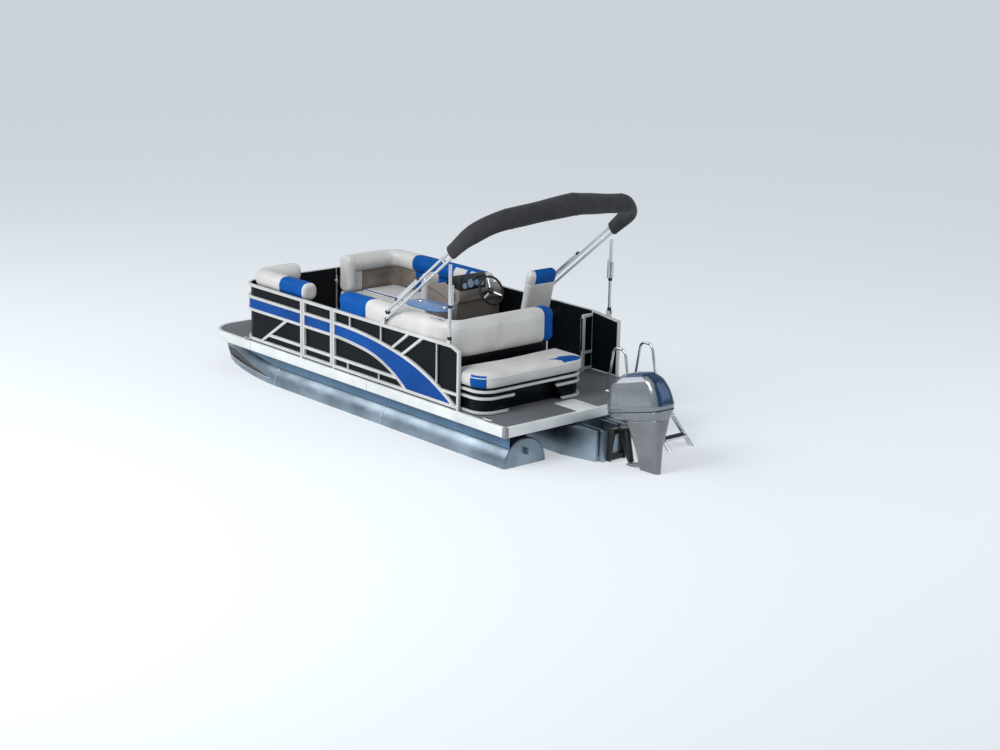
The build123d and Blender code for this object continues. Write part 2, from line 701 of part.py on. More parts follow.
# Hooded dials on the inboard part of the console.
HOOD_W = 400
dash = poly_side([
    (CONSOLE_AFT - 12, FLOOR + CONSOLE_Z), (console_front, FLOOR + CONSOLE_Z),
    (CONSOLE_AFT + 250, FLOOR + CONSOLE_Z + 25), (CONSOLE_AFT + 260, FLOOR + 800),
    (CONSOLE_AFT + 200, FLOOR + 872), (CONSOLE_AFT + 40, FLOOR + 915),
    (CONSOLE_AFT - 15, FLOOR + 900)],
    CONSOLE_IN - 6 - HOOD_W, CONSOLE_IN - 6)
save(dash - console, "dash_hood")
wheel = Torus(WHEEL_R, 13)
wheel = wheel + Cylinder(38, 30)
for i in range(3):
    spoke = Pos(WHEEL_R / 2, 0, 0) * Box(WHEEL_R, 26, 9)
    wheel = wheel + Rot(0, 0, 90 + 120 * i) * spoke
wheel = wheel + Pos(0, 0, SHAFT_LEN / 2) * Cylinder(SHAFT_R, SHAFT_LEN)
save(wheel_place * wheel, "steering_wheel")

CHAIR_X = 2030
chair_y = HELM_Y + 10
pedestal = Pos(sx(CHAIR_X), chair_y, FLOOR + 10) * Cylinder(170, 20)
pedestal = pedestal + Pos(sx(CHAIR_X), chair_y, FLOOR + 180) * Cylinder(45, 340)
pedestal = pedestal + Pos(sx(CHAIR_X), chair_y, FLOOR + 353) * Cylinder(130, 14)
save(pedestal, "helm_pedestal")
chair_low = FLOOR + 360 + SOFT_GAP
chair_mid = FLOOR + 500 + SOFT_GAP
chair_seat = block(CHAIR_X - 200, CHAIR_X + 220, chair_y - 225, chair_y + 225, chair_low, FLOOR + 500)
chair_back = poly_side([
    (1826, chair_mid), (1926, chair_mid), (1786, FLOOR + 1130), (1666, FLOOR + 1130)],
    chair_y - 225, chair_y + 225)
save(soft(chair_seat, 30), "helm_seat")
save(fillet(chair_back.edges().filter_by(Axis.Y), 30), "helm_back")

# Table
TABLE_X = 2790
TABLE_Y = -60
table_leg = Pos(sx(TABLE_X), TABLE_Y, FLOOR + 8) * Cylinder(150, 16)
table_leg = table_leg + Pos(sx(TABLE_X), TABLE_Y, FLOOR + 300) * Cylinder(32, 590)
save(table_leg, "table_leg")
table_top = Pos(sx(TABLE_X), TABLE_Y, FLOOR + 595) * extrude(SlotOverall(700, 360), 28)
save(table_top, "table_top")

# Folding top in its stowed position, leaning aft on two poles.
BIM_Z = FLOOR + 734
TUBE_SQ = 25
LEAN = 38.5


def bim_point(reach, y, lift):
    """Point in the leaning plane: reach along it, lift square to it."""
    x = BIM_X - reach * cos(radians(LEAN)) - lift * sin(radians(LEAN)) * -1
    z = BIM_Z + reach * sin(radians(LEAN)) + lift * cos(radians(LEAN))
    return (x, y, z)


def bow_path(start, corner, crown, lift0, lift1, bend):
    """Path up one side, over the crown and down the other."""
    up = [
        bim_point(start, BIM_Y, lift0), bim_point(corner, BIM_Y - 25, lift1),
        bim_point(crown, 0, lift1)]
    pts = [(sx(x), y, z) for x, y, z in up]
    pts = pts + [(x, -y, z) for x, y, z in (pts[1], pts[0])]
    return FilletPolyline(*pts, radius=bend)


def bow_tube(path):
    plane = Plane(origin=path @ 0, x_dir=(0, 1, 0), z_dir=path % 0)
    return sweep(plane * Rectangle(TUBE_SQ, TUBE_SQ), path=path)


BOW_CORNER = 2050
BOW_CROWN = 2250
BOW_BEND = 450
main_bow = bow_tube(bow_path(0, BOW_CORNER, BOW_CROWN, 0, 0, BOW_BEND))
second_bow = bow_tube(bow_path(90, BOW_CORNER - 10, BOW_CROWN - 10, 60, 70, BOW_BEND - 20))
hinge_link = rod(bim_point(95, BIM_Y - 5, 55), bim_point(95, BIM_Y - 5, 0), 9)
brackets = None
for reach, lift in ((900, 62), (1290, 66)):
    link = rod(bim_point(reach, BIM_Y - 12, 0), bim_point(reach, BIM_Y - 12, lift), 8)
    brackets = link if brackets is None else brackets + link
strut = bar(bim_point(330, BIM_Y - 6, 85), bim_point(800, BIM_Y - 8, 87), TUBE_SQ, TUBE_SQ)
links = hinge_link + brackets + strut
bows = main_bow + second_bow + links + mirror_y(links)
foot = block(BIM_X - 14, BIM_X + 14, BIM_Y - 12.5, BIM_Y + 12.5, BIM_Z - 14, BIM_Z + 14)
bows = bows + foot + mirror_y(foot)
bows = bows - rod((BIM_X, -1300, BIM_Z), (BIM_X, 1300, BIM_Z), CROSS_PIN + PIN_FIT)
save(bows, "bimini_bows")

# Stowed cover. Rows: way along it, half width, half height.
BOOT_START = 1460
BOOT_LIFT = 40
BOOT = [
    (0.0, 45, 80),
    (0.12, 68, 110),
    (0.5, 88, 132),
    (0.88, 68, 110),
    (1.0, 45, 80),
]


def boot():
    """Cover round the upper part of the bows, fuller in the middle."""
    path = bow_path(BOOT_START, BOW_CORNER, BOW_CROWN, BOOT_LIFT, BOOT_LIFT, BOW_BEND)
    lift_dir = Vector(sin(radians(LEAN)), 0, cos(radians(LEAN)))
    rings = []
    for way, half_w, half_h in BOOT:
        along = path % way
        plane = Plane(origin=path @ way, x_dir=lift_dir.cross(along), z_dir=along)
        rings.append(plane * Ellipse(half_w, half_h))
    solid = sweep(rings, path=path, multisection=True)
    return solid - main_bow - second_bow


save(boot(), "bimini_boot")
pole_top = bim_point((BIM_X - POLE_X) / cos(radians(LEAN)) - 40, BIM_Y, 0)[2] - 45
for side, name in ((1, "pole_port"), (-1, "pole_starboard")):
    y = side * BIM_Y
    pole = bar((POLE_X, y, foot_z + 14), (POLE_X, y, pole_top), TUBE_SQ, TUBE_SQ)
    sleeve = bar((POLE_X - 24.5, y, foot_z + 420), (POLE_X - 24.5, y, foot_z + 600), TUBE_SQ, TUBE_SQ)
    hole = rod((POLE_X, y - 20, foot_z + 26), (POLE_X, y + 20, foot_z + 26), CROSS_PIN + PIN_FIT)
    save(pole + sleeve - hole, name)

# Boarding ladder at the starboard stern corner.
LADDER = (-640, -1060)
STEP_COUNT = 4
LADDER_TUBE = 15
rails = []
for y in LADDER:
    loop = pipe([
        (430, y, FLOOR - 40), (330, y, FLOOR + 520), (160, y, FLOOR + 520), (40, y, FLOOR - 40)],
        LADDER_TUBE, 75)
    rails.append(loop & block(-100, 900, -1500, 0, FLOOR, FLOOR + 900))
LADDER_HINGE_X = -30
LADDER_HINGE_Z = FLOOR - 20
LADDER_LEN = 1150
LADDER_SLOPE = 42
frame = None
for y in LADDER:
    yy = y + (-40 if y > -800 else 40)
    side = bar(
        (LADDER_HINGE_X, yy, LADDER_HINGE_Z),
        (LADDER_HINGE_X - LADDER_LEN * cos(radians(LADDER_SLOPE)), yy,
         LADDER_HINGE_Z - LADDER_LEN * sin(radians(LADDER_SLOPE))), 26, 40)
    frame = side if frame is None else frame + side
for i in range(STEP_COUNT):
    d = 240 + i * 280
    x = LADDER_HINGE_X - d * cos(radians(LADDER_SLOPE))
    z = LADDER_HINGE_Z - d * sin(radians(LADDER_SLOPE))
    frame = frame + block(x - 55, x + 55, LADDER[1] + 40, LADDER[0] - 40, z - 12, z + 12)
LADDER_PIN = 12
pin_a = (LADDER_HINGE_X, LADDER[1] - 3, LADDER_HINGE_Z)
pin_b = (LADDER_HINGE_X, LADDER[0] + 3, LADDER_HINGE_Z)
frame = frame + rod(pin_a, pin_b, LADDER_PIN)
save(frame, "ladder_steps")
lug = block(LADDER_HINGE_X - 18, 0, LADDER[1] - 5, LADDER[1] + 10,
            LADDER_HINGE_Z - 25, LADDER_HINGE_Z + 18)
lug2 = block(LADDER_HINGE_X - 18, 0, LADDER[0] - 10, LADDER[0] + 5,
             LADDER_HINGE_Z - 25, LADDER_HINGE_Z + 18)
pin_bore = rod(pin_a, pin_b, LADDER_PIN + PIN_FIT)
lug = lug - pin_bore
lug2 = lug2 - pin_bore
save(group(*rails, lug, lug2), "ladder_rails")

# Outboard motor on the pod's transom.
TILT_X = POD_AFT - 60
TILT_Z = POD_TOP - 5
STEER_X = POD_AFT - 170
MOTOR_X = -740
PROP_Z = -345
TRIM = 13


def trimmed(shape):
    """Turn a piece of the motor about the tilt pin to its trim."""
    pin = Pos(sx(TILT_X), 0, TILT_Z)
    return pin * Rot(0, TRIM, 0) * pin.inverse() * shape


clamp = None
for side in (1, -1):
    y = side * 105
    arm = poly_side([
        (POD_AFT, POD_TOP + 30), (POD_AFT, POD_TOP - 330), (POD_AFT - 45, POD_TOP - 330),
        (TILT_X - 30, TILT_Z - 30), (TILT_X - 30, TILT_Z + 35)], y - 11, y + 11)
    hook = block(POD_AFT - 20, POD_AFT + TRANSOM_T + 16, y - 11, y + 11, POD_TOP, POD_TOP + 30)
    pad = block(POD_AFT + TRANSOM_T, POD_AFT + TRANSOM_T + 16, y - 11, y + 11,
                POD_TOP - 120, POD_TOP + 30)
    arm = arm + hook + pad
    clamp = arm if clamp is None else clamp + arm
clamp = clamp + rod((TILT_X, -116, TILT_Z), (TILT_X, 116, TILT_Z), 12)
clamp = clamp + block(POD_AFT - 30, POD_AFT, -116, 116, POD_TOP - 325, POD_TOP - 265)
save(clamp, "outboard_clamp")

barrel = rod((TILT_X, -90, TILT_Z), (TILT_X, 90, TILT_Z), 30)
barrel = barrel - rod((TILT_X, -120, TILT_Z), (TILT_X, 120, TILT_Z), 12 + PIN_FIT)
swivel = barrel + rod((STEER_X, 0, TILT_Z - 330), (STEER_X, 0, TILT_Z + 30), 34)
swivel = swivel + poly_side([
    (TILT_X - 25, TILT_Z + 15), (STEER_X, TILT_Z + 20), (STEER_X, TILT_Z - 300),
    (STEER_X + 30, TILT_Z - 300), (TILT_X - 20, TILT_Z - 25)], -28, 28)
swivel = swivel - rod((STEER_X, 0, TILT_Z - 400), (STEER_X, 0, TILT_Z + 60), 18 + PIN_FIT)
swivel = swivel - rod((TILT_X, -120, TILT_Z), (TILT_X, 120, TILT_Z), 12 + PIN_FIT)
save(trimmed(swivel), "outboard_swivel")

steer_pin = rod((STEER_X, 0, TILT_Z - 352), (STEER_X, 0, TILT_Z + 55), 18)
yoke_top = block(MOTOR_X - 60, STEER_X + 25, -70, 70, TILT_Z + 40, TILT_Z + 75)
yoke_low = block(MOTOR_X - 20, STEER_X + 25, -45, 45, TILT_Z - 375, TILT_Z - 340)


def motor_section(z, front, back, half_f, half_b, round_f, round_b):
    """Level outline, its front and back of their own widths."""
    pts = [
        (sx(front), -half_f), (sx(front), half_f), (sx(back), half_b), (sx(back), -half_b)]
    face = make_face(Polyline(*pts, close=True))
    face = fillet(face.vertices().sort_by(Axis.X)[-2:], round_f)
    face = fillet(face.vertices().sort_by(Axis.X)[:2], round_b)
    return Pos(0, 0, z) * face


# Rows: height, front, back, half widths, corner radii, front then back.
LEG = [
    (460, -640, -1140, 160, 110, 100, 90),
    (360, -660, -1110, 130, 90, 90, 80),
    (160, -690, -1020, 80, 60, 60, 50),
    (-190, -700, -940, 38, 30, 36, 28),
]
leg = loft([motor_section(*row) for row in LEG], ruled=True)
plate = Pos(sx(-890), 0, -198) * extrude(Ellipse(230, 105), 10)
strut_low = loft([
    motor_section(-190, -705, -935, 36, 28, 34, 26),
    motor_section(PROP_Z, -715, -930, 26, 22, 25, 20)], ruled=True)
gear = rod((-660, 0, PROP_Z), (-955, 0, PROP_Z), 52)
gear_nose = Pos(sx(-660), 0, PROP_Z) * Sphere(52)
prop_shaft = rod((-950, 0, PROP_Z), (-1062, 0, PROP_Z), 9)
skeg = poly_side([
    (-750, PROP_Z - 30), (-950, PROP_Z - 30), (-960, PROP_Z - 190), (-850, PROP_Z - 190)], -5, 5)

COWL_Z = 545
LOWER_COWL = [
    (450, -620, -1140, 150, 110, 100, 90),
    (485, -500, -1160, 195, 140, 120, 110),
    (COWL_Z, -430, -1190, 215, 150, 140, 115),
]
UPPER_COWL = [
    (COWL_Z, -430, -1190, 215, 150, 140, 115),
    (600, -430, -1200, 219, 150, 140, 115),
    (700, -445, -1190, 215, 140, 140, 110),
    (800, -490, -1155, 200, 125, 130, 100),
    (880, -560, -1095, 175, 112, 120, 90),
    (935, -665, -1015, 120, 80, 90, 70),
]
lower = loft([motor_section(*row) for row in LOWER_COWL], ruled=True)
leg_all = leg + plate + strut_low + gear + gear_nose + skeg + prop_shaft
leg_all = leg_all + steer_pin + yoke_top + yoke_low + lower
save(trimmed(leg_all), "outboard_leg")
upper = loft([motor_section(*row) for row in UPPER_COWL], ruled=True)
save(trimmed(upper), "outboard_cowling")

prop_x = -955
hub = rod((prop_x - 4, 0, PROP_Z), (prop_x - 110, 0, PROP_Z), 45)
prop = hub
for i in range(3):
    blade = Box(100, 9, 105)
    blade = fillet(blade.edges().filter_by(Axis.Y), 35)
    blade = Pos(0, 0, 82) * Rot(0, 0, 62) * blade
    prop = prop + Pos(sx(prop_x - 57), 0, PROP_Z) * Rot(120 * i, 0, 0) * blade
prop = prop - rod((prop_x, 0, PROP_Z), (prop_x - 120, 0, PROP_Z), 9 + PIN_FIT)
save(trimmed(prop), "propeller")

# Eyes for a towing line at the aft ends of the tubes.
EYE_R = 12
eyes = None
for side in (1, -1):
    y = side * TUBE_Y
    plate_eye = block(TUBE_AFT - 46, TUBE_AFT, y - 6, y + 6, 120, 190)
    hole = rod((TUBE_AFT - 24, y - 20, 155), (TUBE_AFT - 24, y + 20, 155), EYE_R)
    one = plate_eye - hole
    eyes = group(one) if eyes is None else group(eyes, one)
save(eyes, "tow_eyes")
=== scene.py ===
"""Pontoon boat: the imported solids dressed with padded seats, coverings, trim and finishes."""

import json
import logging
import math
from dataclasses import dataclass, field
from enum import Enum
from typing import Callable

import bmesh
import bpy
import numpy as np
from mathutils import Matrix, Vector

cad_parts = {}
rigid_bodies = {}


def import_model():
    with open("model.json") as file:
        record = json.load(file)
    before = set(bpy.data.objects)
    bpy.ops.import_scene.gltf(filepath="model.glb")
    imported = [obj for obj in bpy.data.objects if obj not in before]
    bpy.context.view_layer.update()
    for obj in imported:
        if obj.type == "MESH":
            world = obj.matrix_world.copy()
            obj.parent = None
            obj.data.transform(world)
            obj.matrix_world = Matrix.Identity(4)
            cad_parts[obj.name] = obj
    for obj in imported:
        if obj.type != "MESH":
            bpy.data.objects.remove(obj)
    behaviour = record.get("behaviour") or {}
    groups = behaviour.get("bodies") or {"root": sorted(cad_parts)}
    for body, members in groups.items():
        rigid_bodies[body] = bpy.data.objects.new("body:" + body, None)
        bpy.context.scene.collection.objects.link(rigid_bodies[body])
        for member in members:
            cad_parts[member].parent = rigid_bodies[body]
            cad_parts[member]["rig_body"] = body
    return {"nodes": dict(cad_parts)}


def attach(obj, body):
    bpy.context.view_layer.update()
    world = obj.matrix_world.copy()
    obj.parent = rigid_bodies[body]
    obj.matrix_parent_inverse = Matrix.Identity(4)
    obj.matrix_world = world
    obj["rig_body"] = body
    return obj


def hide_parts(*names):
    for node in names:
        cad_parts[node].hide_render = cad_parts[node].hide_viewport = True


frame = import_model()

Array = np.ndarray
Object = bpy.types.Object
Tree = bpy.types.NodeTree
Socket = bpy.types.NodeSocket
LOG = logging.getLogger("pontoon_boat")
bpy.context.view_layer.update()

# Sizes shared by several assemblies, in metres. Stations run forward from the stern edge.
MID = 2.8
FLOOR = 0.465
TUBE_R = 0.292
TUBE_Y = 0.88
FENCE_Y = 1.19
RAIL_T = 0.03
FENCE_FRONT = 4.86
FENCE_R = 0.22
BOW_POST = 3.616
AFT_POST = 3.027
BLUE_T = 0.003
# Lower and upper face of the seat cushions, above the floor covering.
SEAT_LOW = 0.385
SEAT_HIGH = 0.425
# Sewn lines: half width of the stitched strip, depth and spread of its groove.
STITCH = 0.006
GROOVE = 0.006
GROOVE_SPREAD = 0.007
# Rings of a rounded rim, of the side between two rims and of a run's rounded end.
RIM_RINGS = 4
SIDE_RINGS = 3
END_RINGS = 6
# A distance past the end of every run, and an open side of a box.
PAST_END = 9.0
OPEN = math.inf
LAST_FRAME = 20


class Side(Enum):
    """Side of the boat, its value the sign of Y."""

    PORT = 1
    STARBOARD = -1

    @property
    def word(self) -> str:
        """The side as it stands in the names of pieces."""
        return self.name.lower()


class Slot(Enum):
    """Material slots of the record."""

    HULL = "hull_aluminium"
    FRAME = "frame_aluminium"
    EDGE = "edge_aluminium"
    SKIRT = "skirt_aluminium"
    DECK = "deck_vinyl"
    RAIL = "rail_aluminium"
    PANEL = "dark_panel"
    SEAT = "seat_vinyl"
    CONSOLE = "console_plastic"
    DASH = "dash_plastic"
    LEG = "leg_aluminium"
    TABLE = "table_plastic"
    BOOT = "boot_fabric"
    LADDER = "ladder_steel"
    BLACK = "motor_black"
    MOTOR = "motor_grey"
    PROP = "prop_aluminium"


# Shapes


def at(station: float, y: float, height: float) -> tuple[float, float, float]:
    """Point from a station, Y and a height above the floor covering."""
    return (station - MID, y, FLOOR + height)


def bent(start: float, y: float, turn: float, end: float, height: float) -> list:
    """Corners of a line along one side that turns across the boat.

    Args:
        start: Station where it starts.
        y: Y of the part along the side.
        turn: Station of the part across.
        end: Y where it ends.
        height: Height above the floor covering.

    Returns:
        Three points.
    """
    return [at(start, y, height), at(turn, y, height), at(turn, end, height)]


def distances(path: Array) -> Array:
    """Distance along a line at each of its points."""
    return np.concatenate([[0.0], np.cumsum(np.linalg.norm(np.diff(path, axis=0), axis=1))])


def lifted(rings: Array, level: Array) -> Array:
    """Grid of plan rings (n, m, 2), each at its own level."""
    return np.concatenate(
        [rings, np.broadcast_to(level[:, None, None], rings.shape[:2] + (1,))], axis=2
    )


def resample(path: Array, step: float) -> Array:
    """Points spaced evenly along a line.

    Args:
        path: Points (n, 3).
        step: Wanted distance between points.

    Returns:
        Points at equal arc lengths, ends kept.
    """
    length = distances(path)
    count = max(3, int(round(length[-1] / step)) + 1)
    want = np.linspace(0.0, length[-1], count)
    return np.stack([np.interp(want, length, path[:, k]) for k in range(path.shape[1])], axis=1)


def rounded(points: list, radius: float | list, step: float = 0.02) -> Array:
    """Line through points with an arc at each corner.

    Each arc turns its radius vector from r0 to r1 by c + (r0 sin((1-k)w) + r1 sin(kw)) / sin w.

    Args:
        points: Corner points.
        radius: Radius of every arc, or one for each inner corner.
        step: Distance between points of the result.

    Returns:
        Points (n, 2 or 3) along the line.
    """
    pts = [np.array(p, float) for p in points]
    parts = [pts[0][None, :]]
    radii = radius if isinstance(radius, list) else [radius] * (len(pts) - 2)
    for before, corner, after, radius in zip(pts, pts[1:], pts[2:], radii):
        u = (before - corner) / np.linalg.norm(before - corner)
        v = (after - corner) / np.linalg.norm(after - corner)
        half = math.acos(float(np.clip(u @ v, -1, 1))) / 2
        reach = radius / math.tan(half)
        centre = corner + (u + v) / np.linalg.norm(u + v) * radius / math.sin(half)
        r0 = corner + u * reach - centre
        r1 = corner + v * reach - centre
        w = math.pi - 2 * half
        k = np.linspace(0, 1, 17)[:, None]
        parts.append(centre + (r0 * np.sin((1 - k) * w) + r1 * np.sin(k * w)) / math.sin(w))
    parts.append(pts[-1][None, :])
    return resample(np.vstack(parts), step)


def ring_of(corners: list, radii: list, step: float = 0.022) -> Array:
    """Closed outline with an arc at each corner.

    Args:
        corners: Corner points (x, y), counterclockwise.
        radii: Radius at each corner.
        step: Distance between points of the result.

    Returns:
        Profile (m, 2) with evenly spaced points, begun half way along the last side.
    """
    pts = [np.array(c, float) for c in corners]
    start = (pts[-1] + pts[0]) / 2
    return rounded([start, *pts, start], list(radii), step)[:-1]


def circle(radius: float, count: int = 12) -> Array:
    """Round profile: (r cos w, r sin w)."""
    w = np.arange(count) * 2 * np.pi / count
    return np.stack([radius * np.cos(w), radius * np.sin(w)], axis=1)


def plate(width: float, height: float, radius: float, count: int = 4, cuts: int = 1) -> Array:
    """Rectangle profile with arcs at its corners, its straight sides cut into pieces.

    Args:
        width: Size along the first axis.
        height: Size along the second axis.
        radius: Corner radius.
        count: Points in each arc.
        cuts: Pieces that each straight side is cut into.

    Returns:
        Profile (m, 2), counterclockwise from the lower right corner.
    """
    a, b = width / 2 - radius, height / 2 - radius
    arcs = []
    for k, (cx, cy) in enumerate(((a, -b), (a, b), (-a, b), (-a, -b))):
        w = (k - 1) * np.pi / 2 + np.linspace(0, np.pi / 2, count)
        arcs.append(np.stack([cx + radius * np.cos(w), cy + radius * np.sin(w)], axis=1))
    out = []
    for arc, after in zip(arcs, arcs[1:] + arcs[:1]):
        out.append(arc)
        k = np.linspace(0, 1, cuts + 1)[1:-1, None]
        out.append(arc[-1] * (1 - k) + after[0] * k)
    return np.vstack(out)


def inset(profile: Array, depth: Array) -> Array:
    """Profile moved inwards by a depth along its own normals.

    Args:
        profile: Closed profile (m, 2), counterclockwise.
        depth: One depth, or one for each ring (n,).

    Returns:
        Profile (m, 2), or rings (n, m, 2).
    """
    ahead = np.roll(profile, -1, axis=0) - np.roll(profile, 1, axis=0)
    normal = np.stack([ahead[:, 1], -ahead[:, 0]], axis=1)
    normal /= np.linalg.norm(normal, axis=1, keepdims=True)
    return profile - np.asarray(depth, float)[..., None, None] * normal


def carry(path: Array, profile: Array, up: tuple = (0, 0, 1)) -> Array:
    """Profile carried along a path: P(i, j) = path_i + a_j side_i + b_j rise_i.

    Side is tangent x up and rise is side x tangent.

    Args:
        path: Points (n, 3).
        profile: One profile (m, 2), or one for each point (n, m, 2).
        up: Direction that the second axis leans to, never along the path.

    Returns:
        Grid of points (n, m, 3).
    """
    tangent = np.gradient(path, axis=0)
    tangent /= np.linalg.norm(tangent, axis=1, keepdims=True)
    side = np.cross(tangent, np.array(up, float))
    side /= np.linalg.norm(side, axis=1, keepdims=True)
    rise = np.cross(side, tangent)
    rings = np.broadcast_to(profile, (len(path),) + profile.shape[-2:])
    return path[:, None] + rings[..., :1] * side[:, None] + rings[..., 1:] * rise[:, None]


def in_scene(name: str, data: bpy.types.ID) -> Object:
    """Object with a mesh, lamp or camera, put into the scene.

    Args:
        name: Its name.
        data: Its mesh, lamp or camera.

    Returns:
        The new object.
    """
    obj = bpy.data.objects.new(name, data)
    bpy.context.scene.collection.objects.link(obj)
    return obj


def skin(name: str, grid: Array, caps: bool = True, smooth: bool = True) -> Object:
    """Closed skin over a grid whose second direction runs round.

    Faces join (i, j), (i, j+1), (i+1, j+1), (i+1, j), and each end closes on its middle.
    The UV map holds metres along and metres round.

    Args:
        name: Name of the piece.
        grid: Points (n, m, 3).
        caps: Whether the ends are closed.
        smooth: Whether the faces are smooth shaded.

    Returns:
        The new object, its normals outwards.
    """
    n, m, _ = grid.shape
    verts = grid.reshape(-1, 3)
    i, j = np.meshgrid(np.arange(n - 1), np.arange(m), indexing="ij")
    k = (j + 1) % m
    quads = np.stack([i * m + j, i * m + k, (i + 1) * m + k, (i + 1) * m + j], -1).reshape(-1, 4)
    along = distances(grid.mean(1))
    loop = np.concatenate([grid, grid[:, :1]], axis=1)
    gone = np.cumsum(np.linalg.norm(np.diff(loop, axis=1), axis=2), axis=1)
    gone = np.concatenate([np.zeros((n, 1)), gone], axis=1)
    flat = np.stack([np.broadcast_to(along[:, None], gone.shape), gone], axis=-1)
    maps = np.stack([flat[i, j], flat[i, j + 1], flat[i + 1, j + 1], flat[i + 1, j]], 2)
    faces = quads.tolist()
    uvs = [maps.reshape(-1, 2)]
    if caps:
        verts = np.vstack([verts, grid[0].mean(0), grid[-1].mean(0)])
        ring = np.arange(m)
        after = (ring + 1) % m
        faces += np.stack([after, ring, np.full(m, n * m)], -1).tolist()
        faces += np.stack(
            [(n - 1) * m + ring, (n - 1) * m + after, np.full(m, n * m + 1)], -1
        ).tolist()
        for row in (0, -1):
            mid = np.broadcast_to(flat[row].mean(0), (m, 2))
            pair = (flat[row, 1:], flat[row, :-1]) if row == 0 else (flat[row, :-1], flat[row, 1:])
            uvs.append(np.stack([pair[0], pair[1], mid], 1).reshape(-1, 2))
    mesh = bpy.data.meshes.new(name)
    mesh.from_pydata(verts.tolist(), [], faces)
    layer = mesh.uv_layers.new(name="UVMap")
    layer.data.foreach_set("uv", np.vstack(uvs).astype(np.float32).ravel())
    obj = in_scene(name, mesh)
    tri = np.concatenate([quads[:, [0, 1, 2]], quads[:, [0, 2, 3]]])
    a, b, c = (verts[tri[:, q]] for q in range(3))
    if (a * np.cross(b, c)).sum() < 0:
        mesh.flip_normals()
    mesh.polygons.foreach_set("use_smooth", np.full(len(mesh.polygons), smooth))
    return obj


def tube(name: str, path: Array, radius: float, up: tuple = (0, 0, 1), count: int = 12) -> Object:
    """Round bar along a path with closed ends."""
    return skin(name, carry(np.asarray(path, float), circle(radius, count), up))


def slab(
    name: str, outline: Array, low: float, high: float, edge: float, frame_of: tuple | None = None
) -> Object:
    """Plate with a plan outline and rounded rims.

    Ring k is the outline inset by e (1 - sin w) at a height e (1 - cos w) from each face.

    Args:
        name: Name of the piece.
        outline: Closed profile (m, 2).
        low: Lower level along the third axis.
        high: Upper level.
        edge: Radius of the rims.
        frame_of: Origin and three axes that the outline and levels are read in.

    Returns:
        The new object.
    """
    w = np.linspace(0, np.pi / 2, RIM_RINGS)
    deep = edge * (1 - np.sin(w))
    lift = edge * (1 - np.cos(w))
    depth = np.concatenate([deep, deep[::-1]])
    level = np.concatenate([low + lift, (high - lift)[::-1]])
    local = lifted(inset(outline, depth), level)
    if frame_of is not None:
        origin, ax, ay, az = (np.array(v, float) for v in frame_of)
        local = origin + local[..., :1] * ax + local[..., 1:2] * ay + local[..., 2:] * az
    obj = skin(name, local, smooth=True)
    obj.data.set_sharp_from_angle(angle=math.radians(50))
    return obj


def brick(name: str, low: tuple, high: tuple, edge: float = 0.004) -> Object:
    """Block between two corners with rounded edges.

    Args:
        name: Name of the piece.
        low: Lower corner.
        high: Upper corner.
        edge: Radius of the edges.

    Returns:
        The new object.
    """
    lo, hi = np.array(low, float), np.array(high, float)
    size = hi - lo
    ring = plate(size[0], size[1], min(edge, size[0] / 2.1, size[1] / 2.1))
    ring = ring + (lo[:2] + hi[:2]) / 2
    return slab(name, ring, lo[2], hi[2], min(edge, size[2] / 2.1))


def turned(
    name: str, rows: list, centre: tuple, axis: tuple = (0, 0, 1), count: int = 24
) -> Object:
    """Body turned about an axis: P = c + r (cos w p + sin w q) + h axis.

    Args:
        name: Name of the piece.
        rows: Radius and height of each ring.
        centre: Point that heights are measured from.
        axis: Direction of the axis.
        count: Points round.

    Returns:
        The new object.
    """
    a = np.array(axis, float) / np.linalg.norm(axis)
    p = np.cross(a, (0.3, 1.0, 0.2))
    p /= np.linalg.norm(p)
    q = np.cross(a, p)
    r, h = np.array(rows, float).T
    w = np.arange(count) * 2 * np.pi / count
    ring = np.cos(w)[:, None] * p + np.sin(w)[:, None] * q
    grid = np.array(centre, float) + r[:, None, None] * ring + h[:, None, None] * a
    obj = skin(name, grid)
    obj.data.set_sharp_from_angle(angle=math.radians(40))
    return obj


def joined(name: str, pieces: list) -> Object:
    """One object made of several, materials kept.

    Args:
        name: Name of the piece.
        pieces: Objects that it takes up.

    Returns:
        The new object.
    """
    bm = bmesh.new()
    slots: list = []
    for piece in pieces:
        own = [s.material for s in piece.material_slots]
        start = len(bm.faces)
        bm.from_mesh(piece.data)
        bm.faces.ensure_lookup_table()
        for face in bm.faces[start:]:
            mat = own[face.material_index] if own else None
            if mat not in slots:
                slots.append(mat)
            face.material_index = slots.index(mat)
    mesh = bpy.data.meshes.new(name)
    bm.to_mesh(mesh)
    bm.free()
    for mat in slots:
        if mat is not None:
            mesh.materials.append(mat)
    obj = in_scene(name, mesh)
    for piece in pieces:
        bpy.data.objects.remove(piece)
    return obj


def eased(node: str, width: float = 0.003, angle: float = 35) -> Object:
    """Copy of a solid whose doubles are merged and whose edges are rounded.

    Args:
        node: Name of the solid.
        width: Width of the rounding.
        angle: Edges sharper than this are rounded.

    Returns:
        The copy, which stands for the solid.
    """
    source = frame["nodes"][node]
    bm = bmesh.new()
    bm.from_mesh(source.data)
    bmesh.ops.remove_doubles(bm, verts=bm.verts, dist=2e-5)
    bmesh.ops.dissolve_limit(bm, angle_limit=math.radians(0.5), verts=bm.verts, edges=bm.edges)
    mesh = bpy.data.meshes.new(node + "_eased")
    bm.to_mesh(mesh)
    bm.free()
    obj = in_scene(node + "_eased", mesh)
    mesh.polygons.foreach_set("use_smooth", np.full(len(mesh.polygons), True))
    bevel = obj.modifiers.new("edges", "BEVEL")
    bevel.width = width
    bevel.segments = 2
    bevel.limit_method = "ANGLE"
    bevel.angle_limit = math.radians(angle)
    bevel.harden_normals = True
    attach(obj, source["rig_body"])
    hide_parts(node)
    return obj


# Finishes


